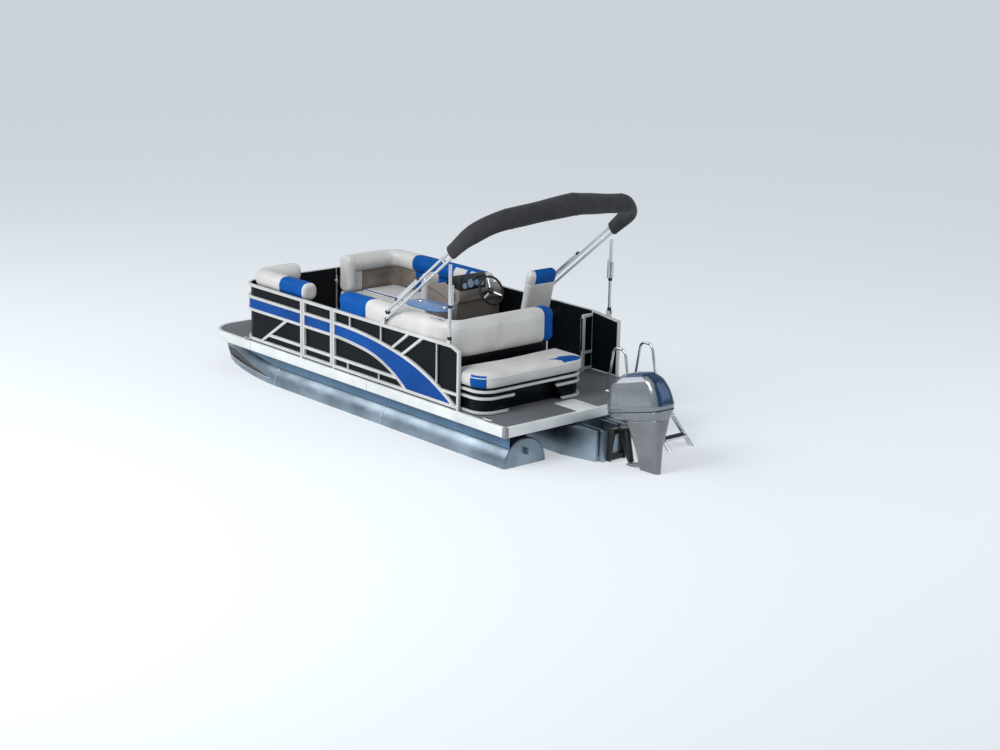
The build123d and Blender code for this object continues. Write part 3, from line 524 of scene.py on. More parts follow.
def linear(code: str, alpha: float = 1.0) -> tuple[float, float, float, float]:
    """Linear colour of an sRGB hex code.

    Args:
        code: Hash and six digits.
        alpha: Fourth value.

    Returns:
        Red, green, blue and alpha.
    """
    raw = np.array([int(code[k : k + 2], 16) for k in (1, 3, 5)]) / 255
    out = np.where(raw <= 0.04045, raw / 12.92, ((raw + 0.055) / 1.055) ** 2.4)
    return (float(out[0]), float(out[1]), float(out[2]), alpha)


def add(
    tree: Tree, kind: str, sets: dict | None = None, links: dict | None = None
) -> bpy.types.Node:
    """Node of a kind, with its settings and what feeds it.

    Args:
        tree: Node tree it goes into.
        kind: Type without the ShaderNode prefix.
        sets: Values by socket name, socket number or property name.
        links: Sockets that feed it, by socket name or number.

    Returns:
        The node.
    """
    made = tree.nodes.new("ShaderNode" + kind)
    for key, value in (sets or {}).items():
        if isinstance(key, int) or key in made.inputs:
            made.inputs[key].default_value = value
        else:
            setattr(made, key, value)
    for key, source in (links or {}).items():
        tree.links.new(source, made.inputs[key])
    return made


def band_scale(period: float) -> float:
    """Scale of a wave texture whose bands repeat at a period in metres."""
    return math.pi / 10 / period


@dataclass(frozen=True)
class Finish:
    """Surface finish: an even colour with two tones of wear and a fine grain."""

    name: str
    colour: str
    shade: str
    rough: float
    metallic: float = 0.0
    ior: float = 1.5
    grain: float = 0.0015
    bump: float = 0.15
    coat: float = 0.0
    sheen: float = 0.0
    patch: float = 0.35
    spread: float = 0.06

    def tones(self, tree: Tree, place: Socket) -> Socket:
        """Two tones mixed by soft patches of the finish's patch size."""
        cloud = add(tree, "TexNoise", {"Scale": 1 / self.patch, "Detail": 5.0}, {"Vector": place})
        return self.mixed(tree, cloud.outputs[0], 0.35, 0.65)

    def mixed(self, tree: Tree, by: Socket, low: float, high: float) -> Socket:
        """Colour from shade to main tone as a value goes from low to high.

        Args:
            tree: Node tree.
            by: The value.
            low: Value of the shade.
            high: Value of the main tone.

        Returns:
            Socket of the colour.
        """
        ramp = add(tree, "MapRange", {1: low, 2: high}, {0: by})
        mix = add(
            tree, "Mix", {"data_type": "RGBA", 6: linear(self.shade), 7: linear(self.colour)},
            {0: ramp.outputs[0]}
        )
        return mix.outputs[2]

    def relief(self, tree: Tree, place: Socket) -> Socket:
        """Height of the fine grain."""
        return add(
            tree, "TexNoise", {"Scale": 1 / self.grain, "Detail": 3.0}, {"Vector": place}
        ).outputs[0]

    def gloss(self, tree: Tree, place: Socket) -> Socket:
        """Roughness that drifts a little over the surface.

        Args:
            tree: Node tree.
            place: Coordinates.

        Returns:
            Socket of the roughness.
        """
        cloud = add(tree, "TexNoise", {"Scale": 2.2 / self.patch, "Detail": 6.0}, {"Vector": place})
        out = add(
            tree, "MapRange",
            {1: 0.3, 2: 0.7, 3: self.rough - self.spread, 4: self.rough + self.spread},
            {0: cloud.outputs[0]}
        )
        return out.outputs[0]

    def place(self, tree: Tree) -> Socket:
        """Coordinates that the patterns read."""
        return add(tree, "TexCoord").outputs["Object"]

    def material(self) -> bpy.types.Material:
        """The finish as a material, made once.

        Returns:
            The material.
        """
        known = bpy.data.materials.get(self.name)
        if known is not None:
            return known
        mat = bpy.data.materials.new(self.name)
        mat.use_nodes = True
        tree = mat.node_tree
        shader = tree.nodes["Principled BSDF"]
        place = self.place(tree)
        shader.inputs["Metallic"].default_value = self.metallic
        if self.metallic < 0.5:
            shader.inputs["IOR"].default_value = self.ior
        shader.inputs["Coat Weight"].default_value = self.coat
        shader.inputs["Coat Roughness"].default_value = 0.08
        shader.inputs["Sheen Weight"].default_value = self.sheen
        tree.links.new(self.tones(tree, place), shader.inputs["Base Color"])
        tree.links.new(self.gloss(tree, place), shader.inputs["Roughness"])
        if self.bump > 0:
            bump = add(
                tree, "Bump", {"Strength": self.bump, "Distance": self.grain},
                {"Height": self.relief(tree, place)}
            )
            tree.links.new(bump.outputs[0], shader.inputs["Normal"])
        return mat


@dataclass(frozen=True)
class Rolled(Finish):
    """Rolled or extruded metal: faint lines along X and cloudy dulling."""

    line: float = 0.004

    def relief(self, tree: Tree, place: Socket) -> Socket:
        """Height of lines that run along X.

        Args:
            tree: Node tree.
            place: Coordinates.

        Returns:
            Socket of the height.
        """
        thin = add(tree, "Mapping", {"Scale": (0.03, 1.0, 1.0)}, {"Vector": place})
        return add(
            tree, "TexNoise", {"Scale": 1 / self.line, "Detail": 4.0}, {"Vector": thin.outputs[0]}
        ).outputs[0]


@dataclass(frozen=True)
class Grained(Finish):
    """Embossed vinyl: rounded pebbles parted by fine creases."""

    def relief(self, tree: Tree, place: Socket) -> Socket:
        """Height of pebbles, highest at the middle of each cell.

        Args:
            tree: Node tree.
            place: Coordinates.

        Returns:
            Socket of the height.
        """
        warp = add(tree, "TexNoise", {"Scale": 0.4 / self.grain, "Detail": 2.0}, {"Vector": place})
        shift = add(
            tree, "VectorMath", {"operation": "MULTIPLY_ADD", 1: (self.grain,) * 3},
            {0: warp.outputs["Color"], 2: place}
        )
        cell = add(
            tree, "TexVoronoi",
            {"feature": "SMOOTH_F1", "Scale": 1 / self.grain, "Smoothness": 0.6},
            {"Vector": shift.outputs[0]}
        )
        return add(
            tree, "Math", {"operation": "SUBTRACT", 0: 1.0}, {1: cell.outputs["Distance"]}
        ).outputs[0]


@dataclass(frozen=True)
class Quilted(Grained):
    """Vinyl sewn in chevrons that follow the piece's UV map."""

    pitch: float = 0.036
    zigzag: float = 0.06

    def relief(self, tree: Tree, place: Socket) -> Socket:
        """Height of rolls between seams at u + p = k pitch, where p is v folded every zigzag.

        Args:
            tree: Node tree.
            place: Coordinates.

        Returns:
            Socket of the height.
        """
        grain = Grained.relief(self, tree, place)
        flat = add(
            tree, "SeparateXYZ", links={0: add(tree, "UVMap", {"uv_map": "UVMap"}).outputs[0]}
        )
        fold = add(tree, "Math", {"operation": "PINGPONG", 1: self.zigzag}, {0: flat.outputs[1]})
        lean = add(tree, "Math", {"operation": "ADD"}, {0: flat.outputs[0], 1: fold.outputs[0]})
        roll = add(tree, "Math", {"operation": "PINGPONG", 1: self.pitch / 2}, {0: lean.outputs[0]})
        puff = add(tree, "Math", {"operation": "POWER", 1: 0.45}, {0: roll.outputs[0]})
        tall = add(tree, "Math", {"operation": "MULTIPLY", 1: 30.0}, {0: puff.outputs[0]})
        return add(tree, "Math", {"operation": "ADD"}, {0: tall.outputs[0], 1: grain}).outputs[0]


@dataclass(frozen=True)
class Woven(Finish):
    """Woven vinyl: two sets of strands over and under, in two tones."""

    thread: float = 0.006

    def strands(self, tree: Tree, place: Socket) -> Socket:
        """Crossing bands at the thread spacing, with a little drift.

        Args:
            tree: Node tree.
            place: Coordinates.

        Returns:
            Socket of the strands' height.
        """
        sets = {
            "Scale": band_scale(self.thread), "Distortion": 0.6, "Detail": 1.0, "Detail Scale": 0.5
        }
        across = add(tree, "TexWave", {**sets, "bands_direction": "X"}, {"Vector": place})
        along = add(tree, "TexWave", {**sets, "bands_direction": "Y"}, {"Vector": place})
        return add(
            tree, "Math", {"operation": "MULTIPLY"}, {0: across.outputs[1], 1: along.outputs[1]}
        ).outputs[0]

    def tones(self, tree: Tree, place: Socket) -> Socket:
        """Strand tone broken up by flecks 15 mm long and broad fading.

        Args:
            tree: Node tree.
            place: Coordinates.

        Returns:
            Socket of the colour.
        """
        fleck = add(tree, "Mapping", {"Scale": (1.0, 3.0, 1.0)}, {"Vector": place})
        cloud = add(tree, "TexNoise", {"Scale": 60.0, "Detail": 3.0}, {"Vector": fleck.outputs[0]})
        fade = add(tree, "TexNoise", {"Scale": 2.5, "Detail": 4.0}, {"Vector": place})
        both = add(
            tree, "Math", {"operation": "MULTIPLY_ADD", 1: 0.35},
            {0: self.strands(tree, place), 2: cloud.outputs[0]}
        )
        total = add(
            tree, "Math", {"operation": "MULTIPLY_ADD", 1: 0.4},
            {0: fade.outputs[0], 2: both.outputs[0]}
        )
        return self.mixed(tree, total.outputs[0], 0.55, 1.0)

    def relief(self, tree: Tree, place: Socket) -> Socket:
        """Height of the strands."""
        return self.strands(tree, place)


@dataclass(frozen=True)
class Canvas(Woven):
    """Cover cloth: a fine weave, read in the piece's UV map."""

    def place(self, tree: Tree) -> Socket:
        """The UV map, in metres."""
        return add(tree, "UVMap", {"uv_map": "UVMap"}).outputs[0]

    def tones(self, tree: Tree, place: Socket) -> Socket:
        """Sun bleached patches over the weave.

        Args:
            tree: Node tree.
            place: Coordinates.

        Returns:
            Socket of the colour.
        """
        cloud = add(tree, "TexNoise", {"Scale": 6.0, "Detail": 5.0}, {"Vector": place})
        both = add(
            tree, "Math", {"operation": "MULTIPLY_ADD", 1: 0.12},
            {0: self.strands(tree, place), 2: cloud.outputs[0]}
        )
        return self.mixed(tree, both.outputs[0], 0.35, 0.75)


class Paint:
    """The boat's finishes, each named for its real material; the hollow, skirt and chine rib
    finishes also carry painted reflection or highlight.
    """

    # Mill finish aluminium sheet, rolled and welded: grey, half dull, faint lines along the tube.
    MILL = Rolled(
        "mill_aluminium_sheet", "#a3b2be", "#7c8a95", 0.38, 1.0, bump=0.12, patch=0.5, spread=0.1,
        line=0.005
    )
    # The same sheet in the nose's hollow, painted darker and brown: a painted reflection of the
    # dark water.
    MILL_DARK = Rolled(
        "mill_aluminium_hollow", "#5d5b58", "#4a4846", 0.55, 0.5, bump=0.12, patch=0.5, line=0.005
    )
    # Weld beads and worn keels catch the light more; the thin rib along the chine in this finish is
    # a painted highlight.
    WELD = Finish("weld_bead", "#e9ebec", "#cfd2d4", 0.3, 0.85, grain=0.004, bump=0.5)
    # Hidden framing, extruded and left dull.
    FRAMING = Rolled("extruded_framing", "#8f9397", "#6f7478", 0.55, 1.0, bump=0.15, line=0.006)
    # Extruded deck edge with a light anodised coat.
    EDGE = Rolled(
        "anodised_deck_edge", "#e4e7e6", "#d2d5d4", 0.42, 0.25, bump=0.12, line=0.006, spread=0.05
    )
    # Skirt sheet below the band, dull, its darker blue tone a painted reflection of the water.
    SKIRT = Rolled("skirt_sheet", "#5c7c98", "#4f6d87", 0.5, 0.25, bump=0.1, line=0.006)
    # Fence extrusions with a satin silver coat, and light orange peel.
    RAIL = Finish(
        "satin_rail_coat", "#cbcbc9", "#bcbcba", 0.36, 0.15, grain=0.0025, bump=0.05, coat=0.2
    )
    # Gloss coated sheet, near black.
    DARK = Finish(
        "gloss_black_sheet", "#0c1115", "#080c10", 0.34, ior=1.16, grain=0.02, bump=0.03, coat=0.04,
        patch=0.8
    )
    # Gloss coated sheet, deep metallic blue.
    BLUE_SHEET = Finish(
        "gloss_blue_sheet", "#0b4a96", "#083d80", 0.36, ior=1.16, grain=0.02, bump=0.03, coat=0.03,
        patch=0.7
    )
    # Marine vinyl with a leather grain, drawn at 3 mm so that it shows.
    VINYL = Grained(
        "marine_vinyl_grey", "#cbc9c6", "#bdbbb8", 0.46, grain=0.003, bump=0.16, sheen=0.08,
        patch=0.3
    )
    VINYL_BLUE = Grained(
        "marine_vinyl_blue", "#03529f", "#03468a", 0.46, grain=0.003, bump=0.16, ior=1.16, patch=0.3
    )
    VINYL_TAUPE = Quilted(
        "quilted_vinyl_taupe", "#8c8178", "#75695f", 0.5, grain=0.003, bump=0.9, patch=0.2
    )
    # Piping and seams in the same vinyl.
    PIPING = Grained("vinyl_piping", "#dddbd8", "#cecccA", 0.4, grain=0.002, bump=0.1)
    SEAM = Grained("sewn_seam", "#8f8d8a", "#7d7b78", 0.6, grain=0.002, bump=0.2)
    # Woven vinyl floor, strands drawn at 9 mm.
    FLOOR = Woven(
        "woven_vinyl_floor", "#6e7075", "#4c4d50", 0.75, grain=0.003, bump=0.5, thread=0.009
    )
    # Moulded fibreglass console in warm grey.
    CONSOLE = Finish("moulded_console", "#847c75", "#766e68", 0.4, grain=0.004, bump=0.08, coat=0.2)
    CONSOLE_DARK = Finish("console_crease_shade", "#5c554f", "#514b46", 0.5, grain=0.004, bump=0.05)
    # Instrument board behind the dials.
    BOARD = Finish("instrument_board", "#16283c", "#101e2e", 0.25, grain=0.01, bump=0.02, coat=0.5)
    # Textured ABS for the dash and trims.
    DASH = Grained("textured_black_abs", "#15161a", "#0f1013", 0.45, grain=0.0022, bump=0.3)
    RUBBER = Finish("black_rubber", "#17181a", "#101113", 0.7, grain=0.003, bump=0.2)
    DIAL = Finish("gauge_dial", "#9fb6cf", "#7f9bb8", 0.25, grain=0.01, bump=0.0, coat=0.8)
    # Anodised tube for the folding top and pedestals, lightly brushed.
    ANODISED = Rolled("anodised_tube", "#d5d7d9", "#bfc2c5", 0.3, 0.75, bump=0.1, line=0.003)
    # Polished stainless steel.
    STEEL = Finish(
        "polished_stainless", "#d8dadd", "#c4c7ca", 0.14, 1.0, grain=0.02, bump=0.03, spread=0.05
    )
    TABLE = Finish("moulded_table", "#6288b6", "#567ba8", 0.22, grain=0.01, bump=0.04, coat=0.15)
    # Acrylic canvas of the rolled top, threads drawn at 4 mm.
    CANVAS = Canvas(
        "acrylic_canvas", "#2a292c", "#1c1b1e", 0.85, grain=0.0015, bump=0.35, sheen=0.06,
        thread=0.004
    )
    # Metallic lacquer on the motor's ABS cowling.
    LACQUER = Finish(
        "metallic_grey_lacquer", "#8e9298", "#7c8086", 0.25, 0.6, grain=0.0012, bump=0.05, coat=0.7,
        patch=0.6
    )
    LACQUER_BLUE = Finish(
        "dark_blue_lacquer", "#1d3f63", "#173452", 0.25, 0.4, grain=0.0012, bump=0.05, coat=0.2
    )
    LEG_GREY = Finish(
        "grey_leg_lacquer", "#84868a", "#6f7175", 0.3, 0.5, grain=0.0015, bump=0.05, coat=0.5
    )
    CAST = Finish("black_cast_aluminium", "#26282b", "#1b1d1f", 0.45, 0.4, grain=0.003, bump=0.25)
    CAP = Finish("grey_corner_cap", "#8b8e90", "#7b7e80", 0.5, 0.2, grain=0.003, bump=0.1)


def paint(obj: Object, *finishes: Finish) -> None:
    """Gives an object its finishes, in order."""
    for finish in finishes:
        obj.data.materials.append(finish.material())


def number_faces(obj: Object, index: Array) -> None:
    """Sets the number of each face's finish."""
    obj.data.polygons.foreach_set("material_index", index.astype(np.int32))


def settle(
    obj: Object,
    finish: Finish | None,
    body: str = "hull",
    stands_for: tuple = (),
) -> Object:
    """Gives a piece its finish, body and the solids it stands for.

    Args:
        obj: The piece.
        finish: Its finish, or none where it has its materials.
        body: Body that it rides on.
        stands_for: Solids that it replaces.

    Returns:
        The piece.
    """
    if finish is not None:
        obj.data.materials.clear()
        paint(obj, finish)
    if "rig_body" not in obj:
        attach(obj, body)
    if stands_for:
        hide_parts(*stands_for)
    LOG.info("piece %s: %d faces", obj.name, len(obj.data.polygons))
    return obj


def dress(node: str, width: float, finish: Finish) -> None:
    """Finish on a softened copy of a solid."""
    settle(eased(node, width), finish)


def coat(node: str, finish: Finish, slot: Slot) -> None:
    """Finish on a solid that shows as it is.

    Args:
        node: Name of the solid.
        finish: Its finish.
        slot: Material slot of the record; not used.
    """
    obj = frame["nodes"][node]
    obj.data.materials.clear()
    paint(obj, finish)


# Padded pieces


@dataclass
class Pad:
    """Padded piece on a grid: stations along it and places round its section."""

    obj: Object
    shape: tuple[int, int]
    pins: Array
    cap: float

    def points(self) -> Array:
        """Grid points as they are now.

        Returns:
            Points (n, m, 3).
        """
        co = np.zeros(len(self.obj.data.vertices) * 3, np.float32)
        self.obj.data.vertices.foreach_get("co", co)
        n, m = self.shape
        return co.reshape(-1, 3)[: n * m].reshape(n, m, 3).astype(float)

    def inflate(self) -> None:
        """Sets the skin up to blow up as cloth round its sewn lines.

        Sewn points stay; keep caps how far a point moves, at most the cap.
        """
        obj = self.obj
        group = obj.vertex_groups.new(name="sewn")
        group.add(np.flatnonzero(self.pins).tolist(), 1.0, "REPLACE")
        cloth = obj.modifiers.new("puff", "CLOTH")
        cloth.settings.quality = 4
        cloth.settings.mass = 0.3
        cloth.settings.tension_stiffness = 12
        cloth.settings.compression_stiffness = 12
        cloth.settings.bending_stiffness = 0.4
        cloth.settings.use_pressure = True
        cloth.settings.uniform_pressure_force = 4.0
        cloth.settings.effector_weights.gravity = 0.0
        cloth.settings.vertex_group_mass = "sewn"
        cloth.collision_settings.use_collision = False
        cloth.point_cache.frame_start = 1
        cloth.point_cache.frame_end = LAST_FRAME

    def keep(self) -> None:
        """Applies the simulated shape, capped, and takes the cloth off."""
        obj = self.obj
        if "puff" not in obj.modifiers:
            return
        graph = bpy.context.evaluated_depsgraph_get()
        shown = obj.evaluated_get(graph)
        count = len(obj.data.vertices) * 3
        was, now = np.zeros(count, np.float32), np.zeros(count, np.float32)
        obj.data.vertices.foreach_get("co", was)
        shown.data.vertices.foreach_get("co", now)
        move = (now - was).reshape(-1, 3)
        far = np.linalg.norm(move, axis=1, keepdims=True)
        move *= np.minimum(1.0, self.cap / np.maximum(far, 1e-9))
        obj.modifiers.remove(obj.modifiers["puff"])
        obj.data.vertices.foreach_set("co", (was.reshape(-1, 3) + move).astype(np.float32).ravel())
        obj.data.update()


def simulate(pads: list) -> None:
    """Steps all cloth together from frame 1 to 20 and keeps each result.

    Args:
        pads: The pads.
    """
    for pad in pads:
        pad.inflate()
    for step in range(1, LAST_FRAME + 1):
        bpy.context.scene.frame_set(step)
    for pad in pads:
        pad.keep()
    bpy.context.scene.frame_set(1)


def finish_pad(pad: Pad) -> None:
    """Args:
        pad: The pad.
    """
    smooth = pad.obj.modifiers.new("smooth", "SUBSURF")
    smooth.levels = 1
    smooth.render_levels = 1


def run_pad(
    name: str,
    path: Array,
    profile: Array,
    end: float,
    seams: tuple = (),
    cap: float = 0.012,
    up: tuple = (0, 0, 1),
) -> Pad:
    """Padded run: a profile along a path, its ends rounded.

    At a distance d from an end of radius e the inset is e (1 - sqrt(1 - (1 - d/e)^2)).

    Args:
        name: Name of the piece.
        path: Points along the middle, evenly spaced.
        profile: Closed profile (m, 2).
        end: Radius of the rounding at both ends.
        seams: Distances along the path where the cover is sewn.
        cap: Most that a point moves in the simulation.
        up: Direction of the profile's second axis.

    Returns:
        The pad, sewn along its seams and its lower edge.
    """
    gone = distances(path)
    total = gone[-1]
    w = np.linspace(0, np.pi / 2, END_RINGS)
    near = end * (1 - np.cos(w))
    step = gone[1] - gone[0]
    inner = np.arange(end + step, total - end - step / 2, step)
    for seam in seams:
        inner = inner[np.abs(inner - seam) > step * 0.7]
        inner = np.sort(np.concatenate([inner, [seam - STITCH, seam, seam + STITCH]]))
    want = np.concatenate([near, inner, total - near[::-1]])
    line = np.stack([np.interp(want, gone, path[:, k]) for k in range(3)], axis=1)
    from_end = np.minimum(want, total - want)
    deep = np.where(
        from_end < end, end * (1 - np.sqrt(np.clip(1 - (1 - from_end / end) ** 2, 0, 1))), 0.0
    )
    notch = np.zeros(len(want))
    for seam in seams:
        notch = np.maximum(notch, GROOVE * np.exp(-(((want - seam) / GROOVE_SPREAD) ** 2)))
    rings = inset(profile, deep + notch)
    grid = carry(line, rings, up)
    # Two smaller rings close each end.
    fill = np.array([0.35, 0.7])[:, None, None]
    first = grid[0].mean(0) + (grid[0] - grid[0].mean(0)) * fill
    last = grid[-1].mean(0) + (grid[-1] - grid[-1].mean(0)) * fill[::-1]
    grid = np.concatenate([first, grid, last])
    want = np.concatenate([[0, 0], want, [total, total]])
    obj = skin(name, grid)
    n, m, _ = grid.shape
    sewn = np.zeros((n, m), bool)
    for seam in seams:
        sewn |= (np.abs(want - seam) < 0.008)[:, None]
    low = profile[:, 1] < profile[:, 1].min() + 0.02
    sewn |= low[None, :]
    pins = np.concatenate([sewn.ravel(), [True, True]])
    return Pad(obj, (n, m), pins, cap)


def slab_pad(
    name: str, outline: Array, low: float, high: float, edge: float, rings: int = 12,
    cap: float = 0.012
) -> Pad:
    """Padded slab on a convex plan outline, sewn round both rims.

    Faces are P = c + s (o - c), with s from 0 to 1, and the sides follow the outline.

    Args:
        name: Name of the piece.
        outline: Closed profile (m, 2).
        low: Lower level.
        high: Upper level.
        edge: Radius of the rims.
        rings: Rings on each face.
        cap: Most that a point moves in the simulation.

    Returns:
        The pad.
    """
    middle = outline.mean(0)
    face = inset(outline, edge)
    s = np.linspace(0, 1, rings + 1)[1:-1, None, None]
    flat = middle + (face - middle) * s
    w = np.linspace(0, np.pi / 2, RIM_RINGS)
    deep, lift = edge * (1 - np.sin(w)), edge * (1 - np.cos(w))
    side = np.linspace(low + edge, high - edge, SIDE_RINGS + 2)[1:-1]
    rim = inset(outline, np.concatenate([deep, np.zeros(SIDE_RINGS), deep[::-1]]))
    level = np.concatenate([low + lift, side, (high - lift)[::-1]])
    xy = np.concatenate([flat, rim, flat[::-1]])
    z = np.concatenate([np.full(len(flat), low), level, np.full(len(flat), high)])
    grid = lifted(xy, z)
    obj = skin(name, grid)
    n, m, _ = grid.shape
    sewn = np.zeros((n, m), bool)
    # Sewn are the lower face, two rings of its rim and the second ring of the upper rim.
    sewn[: len(flat) + 2] = True
    sewn[len(flat) + RIM_RINGS + SIDE_RINGS + 1] = True
    pins = np.concatenate([sewn.ravel(), [True, False]])
    return Pad(obj, (n, m), pins, cap)


def band_paint(pad: Pad, bands: list, finishes: list) -> None:
    """Vinyl of each stretch of a run.

    Args:
        pad: The pad.
        bands: Rows of end distance and finish number, in order along it.
        finishes: The finishes.
    """
    paint(pad.obj, *finishes)
    gone = distances(pad.points().mean(1))
    mid = (gone[1:] + gone[:-1]) / 2
    ends = np.array([b[0] for b in bands])
    number = np.array([b[1] for b in bands])[np.clip(np.searchsorted(ends, mid), 0, len(bands) - 1)]
    m = pad.shape[1]
    index = np.concatenate([np.repeat(number, m), np.full(m, number[0]), np.full(m, number[-1])])
    number_faces(pad.obj, index)


def repaint(pad: Pad, where: Callable, number: int) -> None:
    """Gives the faces whose middles a rule picks another of the pad's finishes.

    Args:
        pad: The pad.
        where: Rule that turns middles (n, m, 3) into truths (n, m).
        number: Number of the finish.
    """
    points = pad.points()
    quad = points + np.roll(points, -1, axis=1)
    pick = where((quad[:-1] + quad[1:]) / 4).ravel()
    index = np.zeros(len(pad.obj.data.polygons), np.int32)
    pad.obj.data.polygons.foreach_get("material_index", index)
    index[: len(pick)][pick] = number
    number_faces(pad.obj, index)


def between(low: tuple, high: tuple) -> Callable:
    """Rule for repaint that picks the middles between two corners."""
    return lambda middles: ((middles > low) & (middles < high)).all(-1)


def upholster(pad: Pad, fill: float, pads: list, stands_for: tuple = ()) -> None:
    """Settles a pad on the hull and lists it for the simulation.

    Args:
        pad: The pad, in grey vinyl unless it has its bands already.
        fill: How tight it is stuffed, from 0 to 1; kept with the pad but not used.
        pads: List that it joins.
        stands_for: Solids that it replaces.
    """
    if not len(pad.obj.data.materials):
        paint(pad.obj, Paint.VINYL)
    settle(pad.obj, None, "hull", stands_for)
    pads.append((pad, fill))


def piping(
    name: str, line: Array, radius: float, finish: Finish, closed: bool = False, body: str = "hull"
) -> None:
    """Welt cord sewn along a line of a pad.

    Args:
        name: Name of the piece.
        line: Points (n, 3).
        radius: Radius of the welt.
        finish: Its finish.
        closed: Whether the line is a ring.
        body: Body that it rides on.
    """
    if closed:
        line = np.vstack([line, line[:2]])
    path = resample(line, 0.02)
    settle(tube(name, path, radius, count=8), finish, body)


# Assemblies


@dataclass
class Hull:
    """Two welded tubes with pointed noses, framing, skirts and the motor pod."""

    aft: float = 0.06
    nose_start: float = 4.2
    nose_length: float = 1.44
    welds: tuple = (2.15, 4.2)
    chine: float = 0.07
    chine_start: float = 4.34
    stem: float = 0.012

    def section(self, half: Array, top: Array, bottom: Array, count: int) -> Array:
        """Lens of two arcs through top, widest points and bottom, with one point on the chine.

        With h half the height, r = (half^2 + h^2) / (2 half), each arc is y = r cos w - (r - half).

        Args:
            half: Half width at each station (n,).
            top: Top at each station.
            bottom: Bottom at each station.
            count: Points on each arc.

        Returns:
            Rings (n, 2 count, 2) of y and z.
        """
        h, middle = (top - bottom) / 2, (top + bottom) / 2
        r = (half**2 + h**2) / (2 * half)
        reach = np.arctan2(h, r - half)
        turn = np.arcsin(
            np.clip((self.chine - middle) / r, -0.98 * np.sin(reach), 0.98 * np.sin(reach))
        )
        k = np.linspace(0, 1, count // 2 + 1)[None, :]
        above = np.concatenate([[[0.008]], k[:, 1:]], axis=1)
        below = -reach[:, None] + k * (turn + reach)[:, None]
        w = np.concatenate([below, turn[:, None] + above * (reach - turn)[:, None]], axis=1)
        y = r[:, None] * np.cos(w) - (r - half)[:, None]
        z = middle[:, None] + r[:, None] * np.sin(w)
        arc = np.stack([y, z], -1)
        return np.concatenate([arc[:, :-1], (arc * np.array([-1, 1]))[:, ::-1][:, :-1]], axis=1)

    def nose(self, t: Array) -> tuple[Array, Array]:
        """Half width R (1 - 1.06 t^1.7), at least the stem, and bottom -R + 0.506 t^7.5."""
        return np.maximum(self.stem, TUBE_R * (1 - 1.06 * t**1.7)), -TUBE_R + 0.506 * t**7.5

    def hollow(self, x: Array, z: Array) -> Array:
        """Depth of the leaf above the chine: 0.03 g^0.6 (1 - s)^1.5, s the share of its height.

        Args:
            x: Stations (n, 1).
            z: Heights (n, m).

        Returns:
            Depths (n, m), zero below the chine.
        """
        g = np.clip((x - self.chine_start) / 1.1, 0, 1)
        s = (z - self.chine) / (0.02 + 0.1 * g)
        return np.where((s > 0.001) & (s < 1), 0.03 * g**0.6 * np.clip(1 - s, 0, 1) ** 1.5, 0.0)

    def pontoon(self, side: Side) -> None:
        """One tube with its hollowed nose, keel, chine and weld beads.

        Args:
            side: Side of the boat.
        """
        name = side.word
        t = np.linspace(0, 1, 90)
        half, low = self.nose(t)
        straight = np.concatenate(
            [[self.aft, self.aft + 0.012], np.arange(0.2, self.nose_start - 0.02, 0.12)]
        )
        x = np.concatenate([straight, self.nose_start + t * self.nose_length])
        half = np.concatenate([np.full(len(straight), TUBE_R), half])
        low = np.concatenate([np.full(len(straight), -TUBE_R), low])
        half[0] -= 0.012
        low[0] += 0.012
        top = np.full(len(x), TUBE_R)
        top[0] -= 0.012
        rings = self.section(half, top, low, 84)
        depth = self.hollow(x[:, None], rings[..., 1])
        rings[..., 0] -= np.sign(rings[..., 0]) * np.minimum(depth, np.abs(rings[..., 0]) * 0.6)
        grid = np.concatenate(
            [np.broadcast_to(x[:, None, None] - MID, rings.shape[:2] + (1,)), rings], axis=2
        )
        grid[..., 1] += side.value * TUBE_Y
        body = skin("pontoon_skin_" + name, grid)
        body.data.set_sharp_from_angle(angle=math.radians(30))
        paint(body, Paint.MILL, Paint.MILL_DARK)
        # Faces in the nose's hollow take the darker finish, a painted reflection of the dark water.
        deep = (depth[:-1] + depth[1:]) / 2
        sunk = np.minimum(deep, np.roll(deep, -1, axis=1)) > 0.0012
        inside = sunk & (x[:-1] > self.chine_start)[:, None]
        ends = np.zeros(2 * inside.shape[1], bool)
        number_faces(body, np.concatenate([inside.ravel(), ends]))
        settle(body, None, "hull", ("pontoon_" + name,))
        y = side.value * TUBE_Y
        welds_and_ribs = []
        for k, station in enumerate(self.welds):
            w = np.linspace(0, 2 * np.pi, 97)
            radius = TUBE_R + 0.001
            ring = np.stack(
                [np.full(97, station - MID), y + radius * np.cos(w), radius * np.sin(w)], 1
            )
            bead = carry(ring, plate(0.016, 0.006, 0.0028), (1, 0, 0))
            welds_and_ribs.append(skin(f"weld_{k}", bead, caps=False))
        t = np.linspace(0.05, 1.0, 60)
        low = self.nose(t)[1]
        edge = np.stack(
            [self.nose_start + t * self.nose_length - MID, np.full(60, y), low - 0.004], 1
        )
        tip = self.nose_start + self.nose_length - MID + 0.004
        stem = np.array([[tip, y, 0.225], [tip, y, TUBE_R - 0.01]])
        path = resample(np.vstack([edge, stem]), 0.03)
        welds_and_ribs.append(skin("keel_edge", carry(path, plate(0.014, 0.022, 0.004), (0, 1, 0))))
        keel = resample(
            np.array([[0.3 - MID, y, -TUBE_R - 0.008], [4.3 - MID, y, -TUBE_R - 0.008]]), 0.3
        )
        welds_and_ribs.append(skin("keel_bar", carry(keel, plate(0.024, 0.03, 0.004))))
        # Each side of the nose gets a thin bright rib along the chine: a painted highlight.
        for out in (1, -1):
            welds_and_ribs.append(self.strake(y, out))
        settle(joined("weld_beads_" + name, welds_and_ribs), Paint.WELD, "hull")

